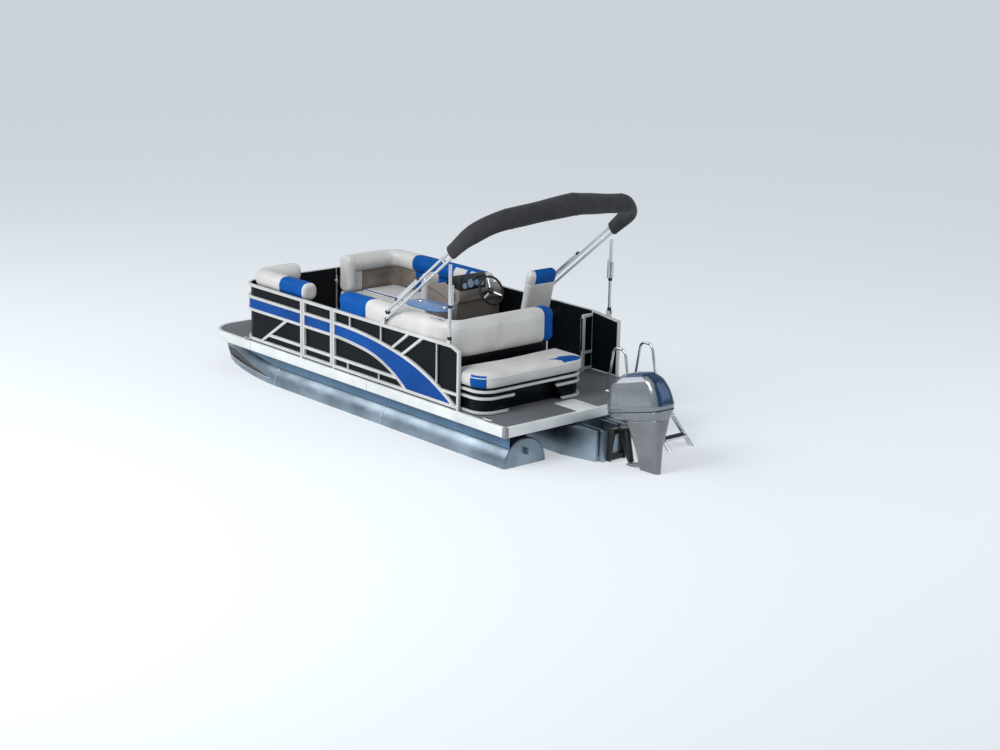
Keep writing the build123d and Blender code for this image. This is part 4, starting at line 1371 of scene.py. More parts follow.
    def strake(self, y: float, out: int) -> Object:
        """Thin bright rib along the chine on one side of the nose: a painted highlight.

        Args:
            y: Middle of the tube.
            out: Sign of the side of the tube.

        Returns:
            The new object.
        """
        x = np.linspace(self.chine_start, self.nose_start + 0.93 * self.nose_length, 40)
        half, low = self.nose((x - self.nose_start) / self.nose_length)
        h = (TUBE_R - low) / 2
        r = (half**2 + h**2) / (2 * half)
        wide = np.sqrt(np.maximum(r**2 - (self.chine - (TUBE_R + low) / 2) ** 2, 0)) - (r - half)
        path = np.stack([x - MID, y + out * (wide + 0.0005), np.full(40, self.chine - 0.003)], 1)
        return skin("strake", carry(path, plate(0.008, 0.007, 0.003)))

    def build(self) -> None:
        """Both tubes, and finishes on the framing, skirts and pod."""
        for side in Side:
            self.pontoon(side)
        dress("cross_members", 0.002, Paint.FRAMING)
        coat("tow_eyes", Paint.FRAMING, Slot.FRAME)
        # The skirt's blue tone is a painted reflection of the water.
        dress("side_skirts", 0.0015, Paint.SKIRT)
        dress("motor_pod", 0.006, Paint.MILL)
        joints = [
            brick("joint", (4.21 - MID, y - 0.0015, 0.215), (4.27 - MID, y + 0.0015, 0.35), 0.001)
            for y in (1.1062, -1.1062)
        ]
        settle(joined("skirt_joints", joints), Paint.FRAMING)


@dataclass
class Deck:
    """Deck plate with its woven covering, edge band, corner caps, joints and cleats."""

    beam: float = 2.44
    drop: float = 0.109
    corner: float = 0.36

    def build(self) -> None:
        """Covering, band and fittings."""
        dress("deck", 0.002, Paint.FLOOR)
        dress("deck_edge", 0.005, Paint.EDGE)
        caps, seams = [], []
        for side in Side:
            y = side.value * self.beam / 2
            out = y + side.value * 0.003
            inner = y - side.value * 0.05
            lo, hi = min(out, inner), max(out, inner)
            caps.append(
                brick(
                    "cap", (-0.003 - MID, lo, FLOOR - self.drop - 0.003),
                    (0.05 - MID, hi, FLOOR + 0.003), 0.006
                )
            )
            for station in (2.35, 4.64):
                seams.append(
                    brick(
                        "seam", (station - 0.002 - MID, y - 0.001, FLOOR - self.drop + 0.004),
                        (station + 0.002 - MID, y + 0.0006, FLOOR - 0.004), 0.0006
                    )
                )
        settle(joined("corner_caps", caps), Paint.CAP)
        settle(joined("edge_joints", seams), Paint.RUBBER)
        y, x0, x1, r = self.beam / 2 - 0.021, 0.021, 2 * MID - 0.021, self.corner - 0.021
        points = [at(x0, y, 0.0012), at(x1, y, 0.0012), at(x1, -y, 0.0012), at(x0, -y, 0.0012)]
        rim = skin("rim", carry(rounded(points, r, 0.04), plate(0.036, 0.0022, 0.001)))
        back = brick("back", at(x0 - 0.018, -y, 0.0002), at(x0 + 0.018, y, 0.0023), 0.001)
        settle(joined("deck_rim", [rim, back]), Paint.EDGE)
        pad = slab(
            "stern_plate", plate(0.42, 0.3, 0.02) + np.array([0.2 - MID, 0.02]), FLOOR + 0.0003,
            FLOOR + 0.004, 0.0018
        )
        settle(pad, Paint.EDGE)
        for station in (4.72, 0.3):
            for side in Side:
                self.cleat(station, side)

    def cleat(self, station: float, side: Side) -> None:
        """Horn cleat: a bar whose ends rise, on two feet.

        Args:
            station: Its station.
            side: Side of the boat.
        """
        y = side.value * 1.205
        k = np.linspace(-1, 1, 21)
        path = np.stack(
            [station - MID + 0.075 * k, np.full(21, y), FLOOR + 0.028 + 0.006 * k**4], 1
        )
        ring = circle(0.0065, 10)[None] * (1 - 0.45 * np.abs(k[:, None, None]) ** 3)
        pieces = [skin("horn", carry(path, ring))]
        rows = [(0.0105, 0.0), (0.008, 0.006), (0.006, 0.028)]
        for off in (-0.02, 0.02):
            pieces.append(turned("foot", rows, (station - MID + off, y, FLOOR), count=12))
        settle(
            joined(f"cleat_{side.word}_{int(station * 100)}", pieces), Paint.STEEL
        )


@dataclass
class Fence:
    """Rails, dark sheets, blue bands and gates."""

    upper: float = 0.54
    lower: float = 0.39
    rail: float = 0.032
    top_curve: tuple = ((3.027, 0.54), (2.42, 0.513), (1.806, 0.42), (0.862, 0.031))
    low_curve: tuple = ((3.027, 0.39), (2.72, 0.377), (2.434, 0.347), (1.679, 0.027))

    def arcs(self, table: tuple, count: int) -> Array:
        """Points on an arc through three points and the arc that goes on from it.

        Args:
            table: Four rows of station and height; the second arc is tangent at the third.
            count: Number of points.

        Returns:
            Stations and heights (count, 2), evenly spaced.
        """
        p = np.array(table, float)
        a, b, c, d = p
        m = np.array([b - a, c - b]) * 2
        centre = np.linalg.solve(m, np.array([b @ b - a @ a, c @ c - b @ b]))
        r0, r1 = a - centre, c - centre
        w = math.acos(float(r0 @ r1 / np.linalg.norm(r0) / np.linalg.norm(r1)))
        k = np.linspace(0, 1, 40)[:, None]
        first = centre + (r0 * np.sin((1 - k) * w) + r1 * np.sin(k * w)) / math.sin(w)
        radial = r1 / np.linalg.norm(r1)
        gap = d - c
        reach = gap @ gap / (2 * (gap @ radial))
        other = c + radial * reach
        s0, s1 = c - other, d - other
        v = math.acos(float(np.clip(s0 @ s1 / reach**2, -1, 1)))
        second = other + (s0 * np.sin((1 - k) * v) + s1 * np.sin(k * v)) / math.sin(v)
        line = resample(np.vstack([first, second[1:]]), 0.01)
        pick = np.linspace(0, len(line) - 1, count)
        return np.stack([np.interp(pick, np.arange(len(line)), line[:, q]) for q in range(2)], 1)

    def ribbon(self, name: str, low: Array, high: Array, out: float) -> Object:
        """Thin sheet between two lines, its cross section a flat loop.

        Args:
            name: Name of the piece.
            low: Points on the outer face's lower line.
            high: Points on the outer face's upper line.
            out: Thickness towards the inside, along each point's own normal.

        Returns:
            The sheet.
        """
        along = np.gradient((low + high) / 2, axis=0)
        normal = np.cross(along, high - low)
        normal /= np.linalg.norm(normal, axis=1, keepdims=True)
        back = normal * out
        grid = np.stack([low, high, high - back, low - back], axis=1)
        return skin(name, grid, smooth=False)

    def corner_line(self, side: Side, start: float, end: float, height: float, out: float) -> Array:
        """Line round the bow corner at a height, a distance inside the fence's outer face.

        Args:
            side: Side of the boat.
            start: Station where it starts.
            end: Distance from the centreline where it ends.
            height: Height above the floor covering.
            out: Distance inside the outer face.

        Returns:
            Points (n, 3).
        """
        y = side.value * (FENCE_Y - out)
        x = FENCE_FRONT - out
        return rounded(bent(start, y, x, side.value * end, height), FENCE_R - out, 0.02)

    def bands(self) -> None:
        """Blue sheets between the two middle rails and in the sweep."""
        z0, z1 = self.lower + self.rail / 2 - 0.004, self.upper - self.rail / 2 + 0.004
        out = 0.012
        for side, end in ((Side.PORT, 0.42), (Side.STARBOARD, 0.22)):
            low = self.corner_line(side, BOW_POST + 0.02, end, z0, out)
            high = self.corner_line(side, BOW_POST + 0.02, end, z1, out)
            self.lay(self.ribbon(f"blue_band_bow_{side.word}", low, high, side.value * BLUE_T))
            y = side.value * (FENCE_Y - out)
            pts = np.linspace(AFT_POST + 0.02, BOW_POST - 0.02, 12)
            low = np.stack([pts - MID, np.full(12, y), np.full(12, FLOOR + z0)], 1)
            high = low + np.array([0, 0, z1 - z0])
            body = "gate_port" if side is Side.PORT else "hull"
            self.lay(
                self.ribbon(f"blue_band_mid_{side.word}", low, high, side.value * BLUE_T), body
            )
            top = self.arcs(self.top_curve, 60)
            bottom = self.arcs(self.low_curve, 60)
            low = np.stack([bottom[:, 0] - MID, np.full(60, y), FLOOR + bottom[:, 1]], 1)
            high = np.stack([top[:, 0] - MID, np.full(60, y), FLOOR + top[:, 1]], 1)
            self.lay(
                self.ribbon(f"blue_sweep_{side.word}", low[::-1], high[::-1], side.value * BLUE_T)
            )
            part = bottom[4:56]
            face = np.full(len(part), side.value * (FENCE_Y + 0.0006))
            line = np.stack([part[:, 0] - MID, face, FLOOR + part[:, 1] + 0.001], 1)
            trim = skin(f"sweep_line_{side.word}", carry(line, plate(0.0016, 0.006, 0.0007)))
            settle(trim, Paint.SEAM)

    def lay(self, sheet: Object, body: str = "hull") -> None:
        """A blue sheet on its body."""
        settle(sheet, Paint.BLUE_SHEET, body)

    def hinge_strip(self, name: str, low: tuple, high: tuple, rows: int = 1) -> None:
        """Stainless strip on the hull with rows of holes every 22 mm, each a black disc: painted
        shade in the hole.

        Args:
            name: Name of the piece.
            low: Lower corner.
            high: Upper corner.
            rows: Rows of holes.
        """
        pieces = [settle(brick("strip", low, high, 0.0015), Paint.STEEL)]
        lo, hi = np.array(low), np.array(high)
        flat = int(np.argmin((hi - lo)[:2]))
        face = np.eye(3)[flat]
        half = (hi - lo)[flat] / 2 + 0.0006
        for row in range(rows):
            for z in np.arange(lo[2] + 0.02, hi[2] - 0.01, 0.022):
                spot = lo + (hi - lo) * (row + 0.5) / rows
                spot[flat] = (lo + hi)[flat] / 2
                spot[2] = z
                # Each hole is a black disc through the strip: painted shade in the hole.
                hole = turned(
                    "hole", [(0.0055, -half), (0.0055, half)], tuple(spot), tuple(face), 10
                )
                pieces.append(settle(hole, Paint.RUBBER))
        settle(joined(name, pieces), None)

    def feet(self) -> None:
        """Short feet between the lowest rail and the floor."""
        pieces = []
        for side in Side:
            y = side.value * (FENCE_Y - RAIL_T / 2)
            for station in (1.3, 1.75, 2.2, 2.65, 3.9, 4.25, 4.58):
                pieces.append(
                    brick(
                        "foot", at(station - 0.025, y - 0.011, 0.0003),
                        at(station + 0.025, y + 0.011, 0.0177), 0.003
                    )
                )
        settle(joined("rail_feet", pieces), Paint.RUBBER)

    def build(self) -> None:
        """Rails and sheets with soft edges, bands, strips and feet."""
        walls = ("bow_port", "aft_port", "bow_starboard", "aft_starboard")
        gates = ("gate_port", "gate_bow", "gate_stern")
        for node in [f"fence_{k}" for k in (*walls, "stern")] + [f"{k}_frame" for k in gates]:
            dress(node, 0.003, Paint.RAIL)
        for node in [f"panel_{k}" for k in walls] + [f"{k}_panel" for k in gates]:
            coat(node, Paint.DARK, Slot.PANEL)
        self.bands()
        self.hinge_strip("hinge_strip_bow", at(4.825, -0.2195, 0.13), at(4.8295, -0.2075, 0.6))
        self.hinge_strip("latch_strip_stern", at(1.212, -1.008, 0.24), at(1.217, -0.97, 0.63), 2)
        self.feet()


@dataclass
class Couch:
    """Bow couch: base, seat cushion, quilted inner back and a thick bolster round the corner."""

    side: Side
    aft: float
    inner: float
    back_aft: float
    back_end: float
    blue: tuple
    front: float = 4.816
    out: float = 1.146
    thick: float = 0.22
    top: float = 0.865
    bolster_mid: float = 0.757
    inner_mid: float = 0.535
    inner_off: float = 0.085
    pads: list = field(default_factory=list)

    def point(self, station: float, y: float, height: float) -> tuple:
        """Point on the couch's own side."""
        return at(station, self.side.value * y, height)

    def outline(self, x0: float, x1: float, y0: float, y1: float, radius: float) -> Array:
        """Rounded rectangle in plan on the couch's side."""
        ring = plate(x1 - x0, y1 - y0, radius, 6, 18)
        return ring + np.array([(x0 + x1) / 2 - MID, self.side.value * (y0 + y1) / 2])

    def build(self) -> None:
        """All pads of the couch."""
        name = self.side.word
        dress(f"couch_{name}_seat", 0.01, Paint.VINYL)
        sign = self.side.value
        back_y = self.out - self.thick / 2
        x_front = self.front - self.thick / 2
        corners = bent(
            self.back_aft, sign * back_y, x_front, sign * self.back_end, self.bolster_mid
        )
        path = rounded(corners, self.thick / 2 + 0.06, 0.024)
        profile = plate(self.thick - 0.004, 0.208, 0.085, 7, 3)
        bolster = run_pad(f"bolster_{name}", path, profile, 0.045, self.blue, 0.01)
        bands = [(self.blue[0], 0), (self.blue[1], 1), (PAST_END, 0)]
        band_paint(bolster, bands, [Paint.VINYL, Paint.VINYL_BLUE])
        if self.side is Side.STARBOARD:
            edge = self.thick - self.out - 0.07
            for x0, x1 in ((2.97, 3.13), (3.2, 3.42)):
                inlay = between((x0 - MID, edge, -OPEN), (x1 - MID, OPEN, FLOOR + 0.848))
                repaint(bolster, inlay, 0)
        upholster(bolster, 0.8, self.pads, (f"couch_{name}_back",))
        low_y = self.out - self.inner_off
        low_front = self.front - self.inner_off
        corners = bent(
            self.back_aft + 0.02, sign * low_y, low_front, sign * (self.back_end + 0.03),
            self.inner_mid
        )
        path = rounded(corners, 0.19, 0.024)
        inner = run_pad(f"inner_back_{name}", path, plate(0.15, 0.262, 0.03, 4, 8), 0.03, (), 0.006)
        gone = float(distances(path)[-1])
        first = 1.3 if self.side is Side.STARBOARD else 0.0
        band_paint(
            inner, [(first, 2), (gone - 0.2, 0), (gone + 1, 1)],
            [Paint.VINYL_TAUPE, Paint.VINYL, Paint.VINYL_BLUE]
        )
        upholster(inner, 0.5, self.pads)
        start = self.aft + 0.006 + (0.14 if self.side is Side.STARBOARD else 0.0)
        ring = self.outline(start, self.front - 0.165, self.inner + 0.004, self.out - 0.165, 0.06)
        cushion = slab_pad(f"seat_cushion_{name}", ring, FLOOR + SEAT_LOW, FLOOR + SEAT_HIGH, 0.018)
        upholster(cushion, 0.7, self.pads)
        if self.side is Side.STARBOARD:
            self.end_piece()
        edge_y = self.inner + 0.03
        line = np.array(
            [
                self.point(self.aft + 0.2, edge_y, SEAT_HIGH),
                self.point(self.front - 0.22, edge_y, SEAT_HIGH)
            ]
        )
        stripe = resample(line, 0.03)
        settle(
            skin(f"blue_stripe_{name}", carry(stripe, plate(0.03, 0.006, 0.0028))), Paint.VINYL_BLUE
        )

    def end_piece(self) -> None:
        """Upright grey piece that closes the back beside the bow gate, from seat to top."""
        x, z = self.front - self.thick / 2, (0.405 + self.top) / 2
        path = resample(
            np.array([self.point(x, self.back_end, z), self.point(x, self.back_end + 0.12, z)]),
            0.012
        )
        pad = run_pad(
            "couch_end", path, plate(self.thick + 0.004, self.top - 0.405, 0.08, 6, 9), 0.04, (),
            0.006
        )
        upholster(pad, 0.85, self.pads)


def build_rest(pads: list) -> None:
    """Upright rest at the aft end of the starboard couch.

    Args:
        pads: List that the rest joins.
    """
    k = np.linspace(0, 1, 17)[:, None]
    low, high = np.array(at(3.461, -0.5775, 0.405)), np.array(at(3.437, -0.5775, 0.83))
    path = low * (1 - k) + high * k
    pad = run_pad("couch_rest", path, plate(0.221, 0.12, 0.045, 6, 4), 0.06, (), 0.008, (1, 0, 0))
    upholster(pad, 0.8, pads, ("couch_starboard_rest",))


@dataclass
class Lounge:
    """L-shaped lounge, its wrapped back and the bench that faces aft."""

    front: float = 2.985
    out: float = 1.146
    fwd: float = 1.195
    aft: float = 0.96
    star: float = -0.33
    top: float = 0.895
    pads: list = field(default_factory=list)

    def back(self) -> None:
        """Back that runs aft along the side and turns across."""
        thick = self.fwd - self.aft
        y = self.out - thick / 2
        x = (self.fwd + self.aft) / 2
        z = (0.503 + self.top) / 2
        path = rounded(bent(self.front, y, x, self.star, z), thick / 2 + 0.06, 0.024)
        profile = plate(thick - 0.004, self.top - 0.505, 0.085, 7, 7)
        seams = (0.51, 1.12, 1.72, 2.4, 3.04)
        pad = run_pad("lounge_backrest", path, profile, 0.05, seams, 0.012)
        band_paint(pad, [(0.51, 1), (3.04, 0), (PAST_END, 1)], [Paint.VINYL, Paint.VINYL_BLUE])
        upholster(pad, 0.85, self.pads, ("lounge_back",))

    def seats(self) -> None:
        """Cushions of the side run and of the part across."""
        dress("lounge_seat", 0.01, Paint.VINYL)
        coat("lounge_divider", Paint.DARK, Slot.PANEL)
        rows = [
            ("lounge_cushion_a", 2.37, 2.935, 0.505, 0.98),
            ("lounge_cushion_b", 1.79, 2.36, 0.505, 0.98),
            ("lounge_cushion_c", 1.21, 1.775, 0.3, 0.98),
            ("lounge_cushion_d", 1.21, 1.775, -0.325, 0.29),
        ]
        for name, x0, x1, y0, y1 in rows:
            ring = plate(x1 - x0, y1 - y0, 0.05, 5, 12) + np.array(
                [(x0 + x1) / 2 - MID, (y0 + y1) / 2]
            )
            pad = slab_pad(name, ring, FLOOR + SEAT_LOW, FLOOR + SEAT_HIGH, 0.018)
            upholster(pad, 0.7, self.pads)

    def bench(self) -> None:
        """Aft bench: dark drum, three rings and a cushion with one blue part."""
        dress("bench_base", 0.003, Paint.DARK)
        dress("bench_rails", 0.004, Paint.RAIL)
        x0, x1, y0, y1 = 0.445 - MID, 0.953 - MID, -0.365, 1.15
        ring = ring_of([(x0, y0), (x1, y0), (x1, y1), (x0, y1)], [0.19, 0.03, 0.03, 0.19])
        rings = 14
        pad = slab_pad("bench_cushion", ring, FLOOR + 0.288, FLOOR + 0.438, 0.035, rings, 0.014)
        self.paint_bench(pad)
        upholster(pad, 0.85, self.pads, ("bench_seat",))
        # The welt runs on the first ring of the upper rim.
        welt = pad.points()[rings - 1 + RIM_RINGS + SIDE_RINGS]
        piping("bench_piping", welt, 0.005, Paint.PIPING, True)

    def paint_bench(self, pad: Pad) -> None:
        """Blue panel on the side at the port corner and a blue strip on top at the starboard one.

        Args:
            pad: Cushion of the bench.
        """
        paint(pad.obj, Paint.VINYL, Paint.VINYL_BLUE)
        x0, z0 = 0.445 - MID, FLOOR + 0.29
        corner = between((-OPEN, 1.0, z0), (x0 + 0.215, OPEN, z0 + 0.142))

        def panel(middles: Array) -> Array:
            """Faces of the port corner up to a slanting line."""
            return corner(middles) & (middles[..., 0] + middles[..., 1] * 0.6 > 1.13 - MID)

        def strip(middles: Array) -> Array:
            """Faces of rings 21 to 27, from the middle to half way round the starboard corner.

            Args:
                middles: Middles of the faces (n, m, 3).

            Returns:
                Which faces are blue (n, m).
            """
            side = middles[18]
            column = (side[:, 1] < 0.0) & (side[:, 0] - x0 - 0.19 < side[:, 1] + 0.175)
            ring = np.arange(len(middles))
            return ((ring > 20) & (ring < 28))[:, None] & column

        repaint(pad, panel, 1)
        repaint(pad, strip, 1)

    def cup_holders(self) -> None:
        """Steel cups let into the top of the back."""
        rows = [
            (0.044, 0.0), (0.047, 0.002), (0.047, 0.005), (0.041, 0.006), (0.036, 0.002),
            (0.035, -0.02), (0.001, -0.02)
        ]
        pieces = [turned("cup", rows, at(x, 1.06, self.top - 0.003)) for x in (1.36, 1.24)]
        settle(joined("cup_holders", pieces), Paint.STEEL)

    def build(self) -> None:
        """The whole lounge."""
        self.seats()
        self.back()
        self.bench()
        self.cup_holders()


@dataclass
class Helm:
    """Console with hooded dials, wheel, throttle and chair."""

    y: float = -0.84
    tilt: float = 115.0
    wheel_r: float = 0.17
    hub: tuple = (2.62, 0.72)
    chair_y: float = -0.83
    console_aft: float = 2.76
    console_in: float = -0.46
    pads: list = field(default_factory=list)

    def wheel_axes(self) -> tuple:
        """Centre of the wheel, two axes in its plane and its axis.

        Returns:
            Four arrays of three numbers.
        """
        a = math.radians(self.tilt)
        axis = np.array([math.sin(a), 0, math.cos(a)])
        up = np.cross(axis, (0, 1, 0))
        return np.array(at(self.hub[0], self.y, self.hub[1])), np.array([0.0, 1, 0]), up, axis

    def wheel(self) -> None:
        """Rim with a padded grip, three flat spokes and a cap."""
        c, p, q, a = self.wheel_axes()
        w = np.linspace(0, 2 * np.pi, 73)
        ring = c + self.wheel_r * (np.cos(w)[:, None] * p + np.sin(w)[:, None] * q)
        bumps = 1 + 0.05 * np.cos(24 * w)[:, None, None]
        rim = skin("rim", carry(ring, circle(0.0135, 12)[None] * bumps, tuple(a)), caps=False)
        settle(rim, Paint.RUBBER, "wheel")
        spokes = []
        for k in range(3):
            b = math.radians(90 + 120 * k)
            out = math.cos(b) * p + math.sin(b) * q
            k01 = np.linspace(0.1, 1.0, 9)[:, None]
            path = c + out * self.wheel_r * k01 + a * 0.012 * (1 - k01)
            spokes.append(
                settle(
                    skin("spoke", carry(path, plate(0.024, 0.006, 0.0025), tuple(a))), Paint.STEEL,
                    "wheel"
                )
            )
        hub = turned(
            "hub",
            [
                (0.001, -0.02), (0.03, -0.018), (0.038, -0.008), (0.038, 0.02), (0.02, 0.03),
                (0.016, 0.19)
            ],
            tuple(c), tuple(a)
        )
        settle(hub, Paint.DASH, "wheel")
        settle(
            joined("wheel_dressed", [rim, *spokes, hub]), None, "wheel",
            ("steering_wheel",)
        )

    def dash(self) -> None:
        """Console, hood, gauges and throttle."""
        dress("console", 0.012, Paint.CONSOLE)
        dress("dash_hood", 0.015, Paint.DASH)
        pieces = []
        x = self.console_aft - 0.015
        low = at(x - 0.003, self.console_in - 0.385, 0.752)
        high = at(x + 0.002, self.console_in - 0.025, 0.888)
        pieces.append(settle(brick("board", low, high, 0.002), Paint.BOARD))
        for off, height, radius in (
            (0.16, 0.812, 0.045), (0.07, 0.79, 0.03), (0.25, 0.812, 0.03), (0.33, 0.8, 0.03)
        ):
            spot = at(x - 0.002, self.console_in - off, height)
            rows = [
                (radius + 0.006, -0.004), (radius + 0.007, 0.004), (radius + 0.003, 0.008),
                (radius, 0.005), (0.001, 0.0045)
            ]
            bezel = turned("bezel", rows, spot, (-1, 0, 0.02))
            pieces.append(settle(bezel, Paint.STEEL))
            dial = turned(
                "dial", [(radius - 0.001, 0.002), (radius - 0.001, 0.0062), (0.001, 0.0062)], spot,
                (-1, 0, 0.02)
            )
            pieces.append(settle(dial, Paint.DIAL))
        settle(joined("gauges", pieces), None, "hull")
        y = self.console_in + 0.012
        lever = rounded(
            [at(2.87, y, 0.66), at(2.85, y + 0.012, 0.79), at(2.83, y - 0.02, 0.83)], 0.025, 0.01
        )
        box = brick("box", at(2.835, y - 0.013, 0.6), at(2.905, y + 0.008, 0.7), 0.008)
        settle(
            joined("throttle", [tube("lever", lever, 0.008), box]), Paint.DASH, "hull"
        )
        y = self.console_in
        crease = rounded(
            [at(2.8, y, 0.54), at(2.96, y, 0.59), at(3.23, y, 0.67), at(3.34, y, 0.685)], 0.1, 0.03
        )
        settle(
            skin("console_crease", carry(crease, plate(0.005, 0.01, 0.002))), Paint.CONSOLE_DARK,
        )

    def chair(self) -> None:
        """Seat and back cushions on the pedestal."""
        dress("helm_pedestal", 0.003, Paint.ANODISED)
        ring = plate(0.41, 0.44, 0.07, 6, 10) + np.array([2.04 - MID, self.chair_y])
        seat = slab_pad("helm_seat_cushion", ring, FLOOR + 0.366, FLOOR + 0.494, 0.04)
        upholster(seat, 0.85, self.pads, ("helm_seat",))
        k = np.linspace(0, 1, 27)[:, None]
        low = np.array(at(1.876, self.chair_y, 0.51))
        high = np.array(at(1.728, self.chair_y, 1.126))
        path = low * (1 - k) + high * k
        back = run_pad(
            "helm_back_cushion", path, plate(0.42, 0.105, 0.045, 6, 8), 0.07, (0.48,), 0.012,
            (1, 0, 0)
        )
        band_paint(back, [(0.48, 0), (2.0, 1)], [Paint.VINYL, Paint.VINYL_BLUE])
        repaint(back, between((-OPEN, self.chair_y + 0.13, -OPEN), (OPEN, OPEN, OPEN)), 0)
        upholster(back, 0.85, self.pads, ("helm_back",))

    def build(self) -> None:
        """Console, wheel and chair."""
        self.dash()
        self.wheel()
        self.chair()


@dataclass
class Table:
    """Oval table on a post, with two cups in its top."""

    x: float = 2.79
    y: float = -0.06

    def build(self) -> None:
        """Top with a raised rim, cups and the leg."""
        dress("table_leg", 0.002, Paint.ANODISED)
        dress("table_top", 0.008, Paint.TABLE)
        rows = [(0.041, 0.0), (0.045, 0.003), (0.038, 0.003), (0.036, -0.002), (0.001, -0.002)]
        pieces = [turned("cup", rows, at(self.x + off, self.y, 0.6232)) for off in (-0.22, 0.22)]
        settle(joined("table_cups", pieces), Paint.STEEL)


@dataclass
class FoldingTop:
    """Bows, struts and poles with the cover rolled round the upper bows."""

    pivot: float = 2.09
    pivot_y: float = 1.175
    lean: float = 38.5
    start: float = 1.46
    corner: float = 2.05
    crown: float = 2.25
    bend: float = 0.45
    lift: float = 0.04
    pole: float = 0.969
    pads: list = field(default_factory=list)

    def point(self, reach: float, y: float, lift: float) -> tuple:
        """Point in the leaning plane: reach along it, lift square to it.

        Args:
            reach: Distance from the pivot.
            y: Y of the point.
            lift: Distance off the plane.

        Returns:
            The point.
        """
        a = math.radians(self.lean)
        x = self.pivot - reach * math.cos(a) + lift * math.sin(a)
        z = 0.734 + reach * math.sin(a) + lift * math.cos(a)
        return at(x, y, z)

    def cover(self) -> None:
        """Cover: half width and half height grow to the middle, with sewn seams."""
        y = self.pivot_y - 0.025
        points = [
            self.point(self.start, self.pivot_y, self.lift), self.point(self.corner, y, self.lift),
            self.point(self.crown, 0, self.lift)
        ]
        points += [(p[0], -p[1], p[2]) for p in (points[1], points[0])]
        path = rounded(points, self.bend, 0.026)
        way = np.linspace(0, 1, len(path))
        table = np.array(
            [
                (0, 0.043, 0.078), (0.12, 0.066, 0.108), (0.5, 0.086, 0.13), (0.88, 0.066, 0.108),
                (1, 0.043, 0.078)
            ]
        )
        half_w = np.interp(way, table[:, 0], table[:, 1])
        half_h = np.interp(way, table[:, 0], table[:, 2])
        wrap = np.arange(40) * 2 * np.pi / 40
        power = 0.85
        a = np.sign(np.cos(wrap)) * np.abs(np.cos(wrap)) ** power
        b = np.sign(np.sin(wrap)) * np.abs(np.sin(wrap)) ** power
        # Slack folds: r is 0.98 + 0.022 sin(3 w + 9 way) + 0.014 sin(41 way + 2 w).
        broad = 0.022 * np.sin(3 * wrap + 9 * way[:, None])
        fine = 0.014 * np.sin(41 * way[:, None] + 2 * wrap)
        slack = 1 - 0.02 + broad + fine
        rings = np.stack([a * half_w[:, None] * slack, b * half_h[:, None] * slack], -1)
        angle = math.radians(self.lean)
        up = (math.sin(angle), 0, math.cos(angle))
        grid = carry(path, rings, up)
        obj = skin("rolled_cover", grid)
        n, m, _ = grid.shape
        sewn = np.zeros((n, m), bool)
        sewn[[0, 1, n // 4, n // 2, 3 * n // 4, -2, -1]] = True
        sewn[:, 10] = True
        pad = Pad(obj, (n, m), np.concatenate([sewn.ravel(), [True, True]]), 0.012)
        settle(obj, Paint.CANVAS, "folding_top", ("bimini_boot",))
        self.pads.append((pad, 0.6))
        for k, station in enumerate((n // 4, n // 2, 3 * n // 4)):
            ring = np.vstack([grid[station], grid[station][:2]])
            ring = grid[station].mean(0) + (ring - grid[station].mean(0)) * 1.008
            seam = tube(
                f"cover_seam_{k}", resample(ring, 0.012), 0.002,
                tuple(np.gradient(path, axis=0)[station]), 6
            )
            settle(seam, Paint.CANVAS, "folding_top")

    def fittings(self) -> None:
        """Caps, knuckles and clamps on bows and poles."""
        pieces = []
        for s in (1, -1):
            for reach, lift, size in (
                (0.33, 0.085, 0.034), (0.8, 0.087, 0.034), (0.095, 0.055, 0.04), (0.03, 0.0, 0.036)
            ):
                c = np.array(self.point(reach, s * (self.pivot_y - 0.006), lift))
                d = np.array(self.point(reach + 0.03, s * (self.pivot_y - 0.006), lift))
                pieces.append(
                    skin("cap", carry(np.linspace(c, d, 4), plate(size, size, 0.006), (0, 1, 0)))
                )
        settle(joined("bow_caps", pieces), Paint.RUBBER, "folding_top")
        for side in Side:
            y = side.value * self.pivot_y
            body = "pole_" + side.word
            parts = []
            for z0, z1 in ((0.737, 0.777), (1.085, 1.12)):
                parts.append(
                    brick(
                        "grip", at(self.pole - 0.018, y - 0.018, z0),
                        at(self.pole + 0.018, y + 0.018, z1), 0.004
                    )
                )
            settle(joined("pole_grips_" + side.word, parts), Paint.RUBBER, body)
            inner = y - side.value * 0.03
            sleeve = brick(
                "pole_sleeve_" + side.word, at(self.pole - 0.015, inner - 0.014, 1.12),
                at(self.pole + 0.015, inner + 0.014, 1.33), 0.004
            )
            settle(sleeve, Paint.ANODISED, body)

    def build(self) -> None:
        """Cover, bows and poles."""
        dress("bimini_bows", 0.002, Paint.ANODISED)
        for side in Side:
            dress("pole_" + side.word, 0.002, Paint.ANODISED)
        self.cover()
        self.fittings()


@dataclass
class Ladder:
    """Hand-rail loops and the folding ladder with treads."""

    slope: float = 42.0
    count: int = 4

    def build(self) -> None:
        """Rails, steps and grip strips."""
        dress("ladder_rails", 0.001, Paint.STEEL)
        dress("ladder_steps", 0.003, Paint.STEEL)
        a = math.radians(self.slope)
        strips = []
        for k in range(self.count):
            d = 0.24 + 0.28 * k
            x, z = -0.03 - d * math.cos(a), -0.02 - d * math.sin(a)
            strips.append(
                brick(
                    "tread", at(x - 0.045, -1.0, z + 0.0122), at(x + 0.045, -0.7, z + 0.0155),
                    0.0015
                )
            )
        settle(joined("treads", strips), Paint.RUBBER, "ladder")
        rows = [(0.03, 0.0), (0.03, 0.004), (0.02, 0.012), (0.0165, 0.02)]
        spots = [at(x, y, 0.0002) for y in (-0.64, -1.06) for x in (0.4158, 0.053)]
        rings = [turned("flange", rows, spot) for spot in spots]
        settle(joined("ladder_flanges", rings), Paint.STEEL)


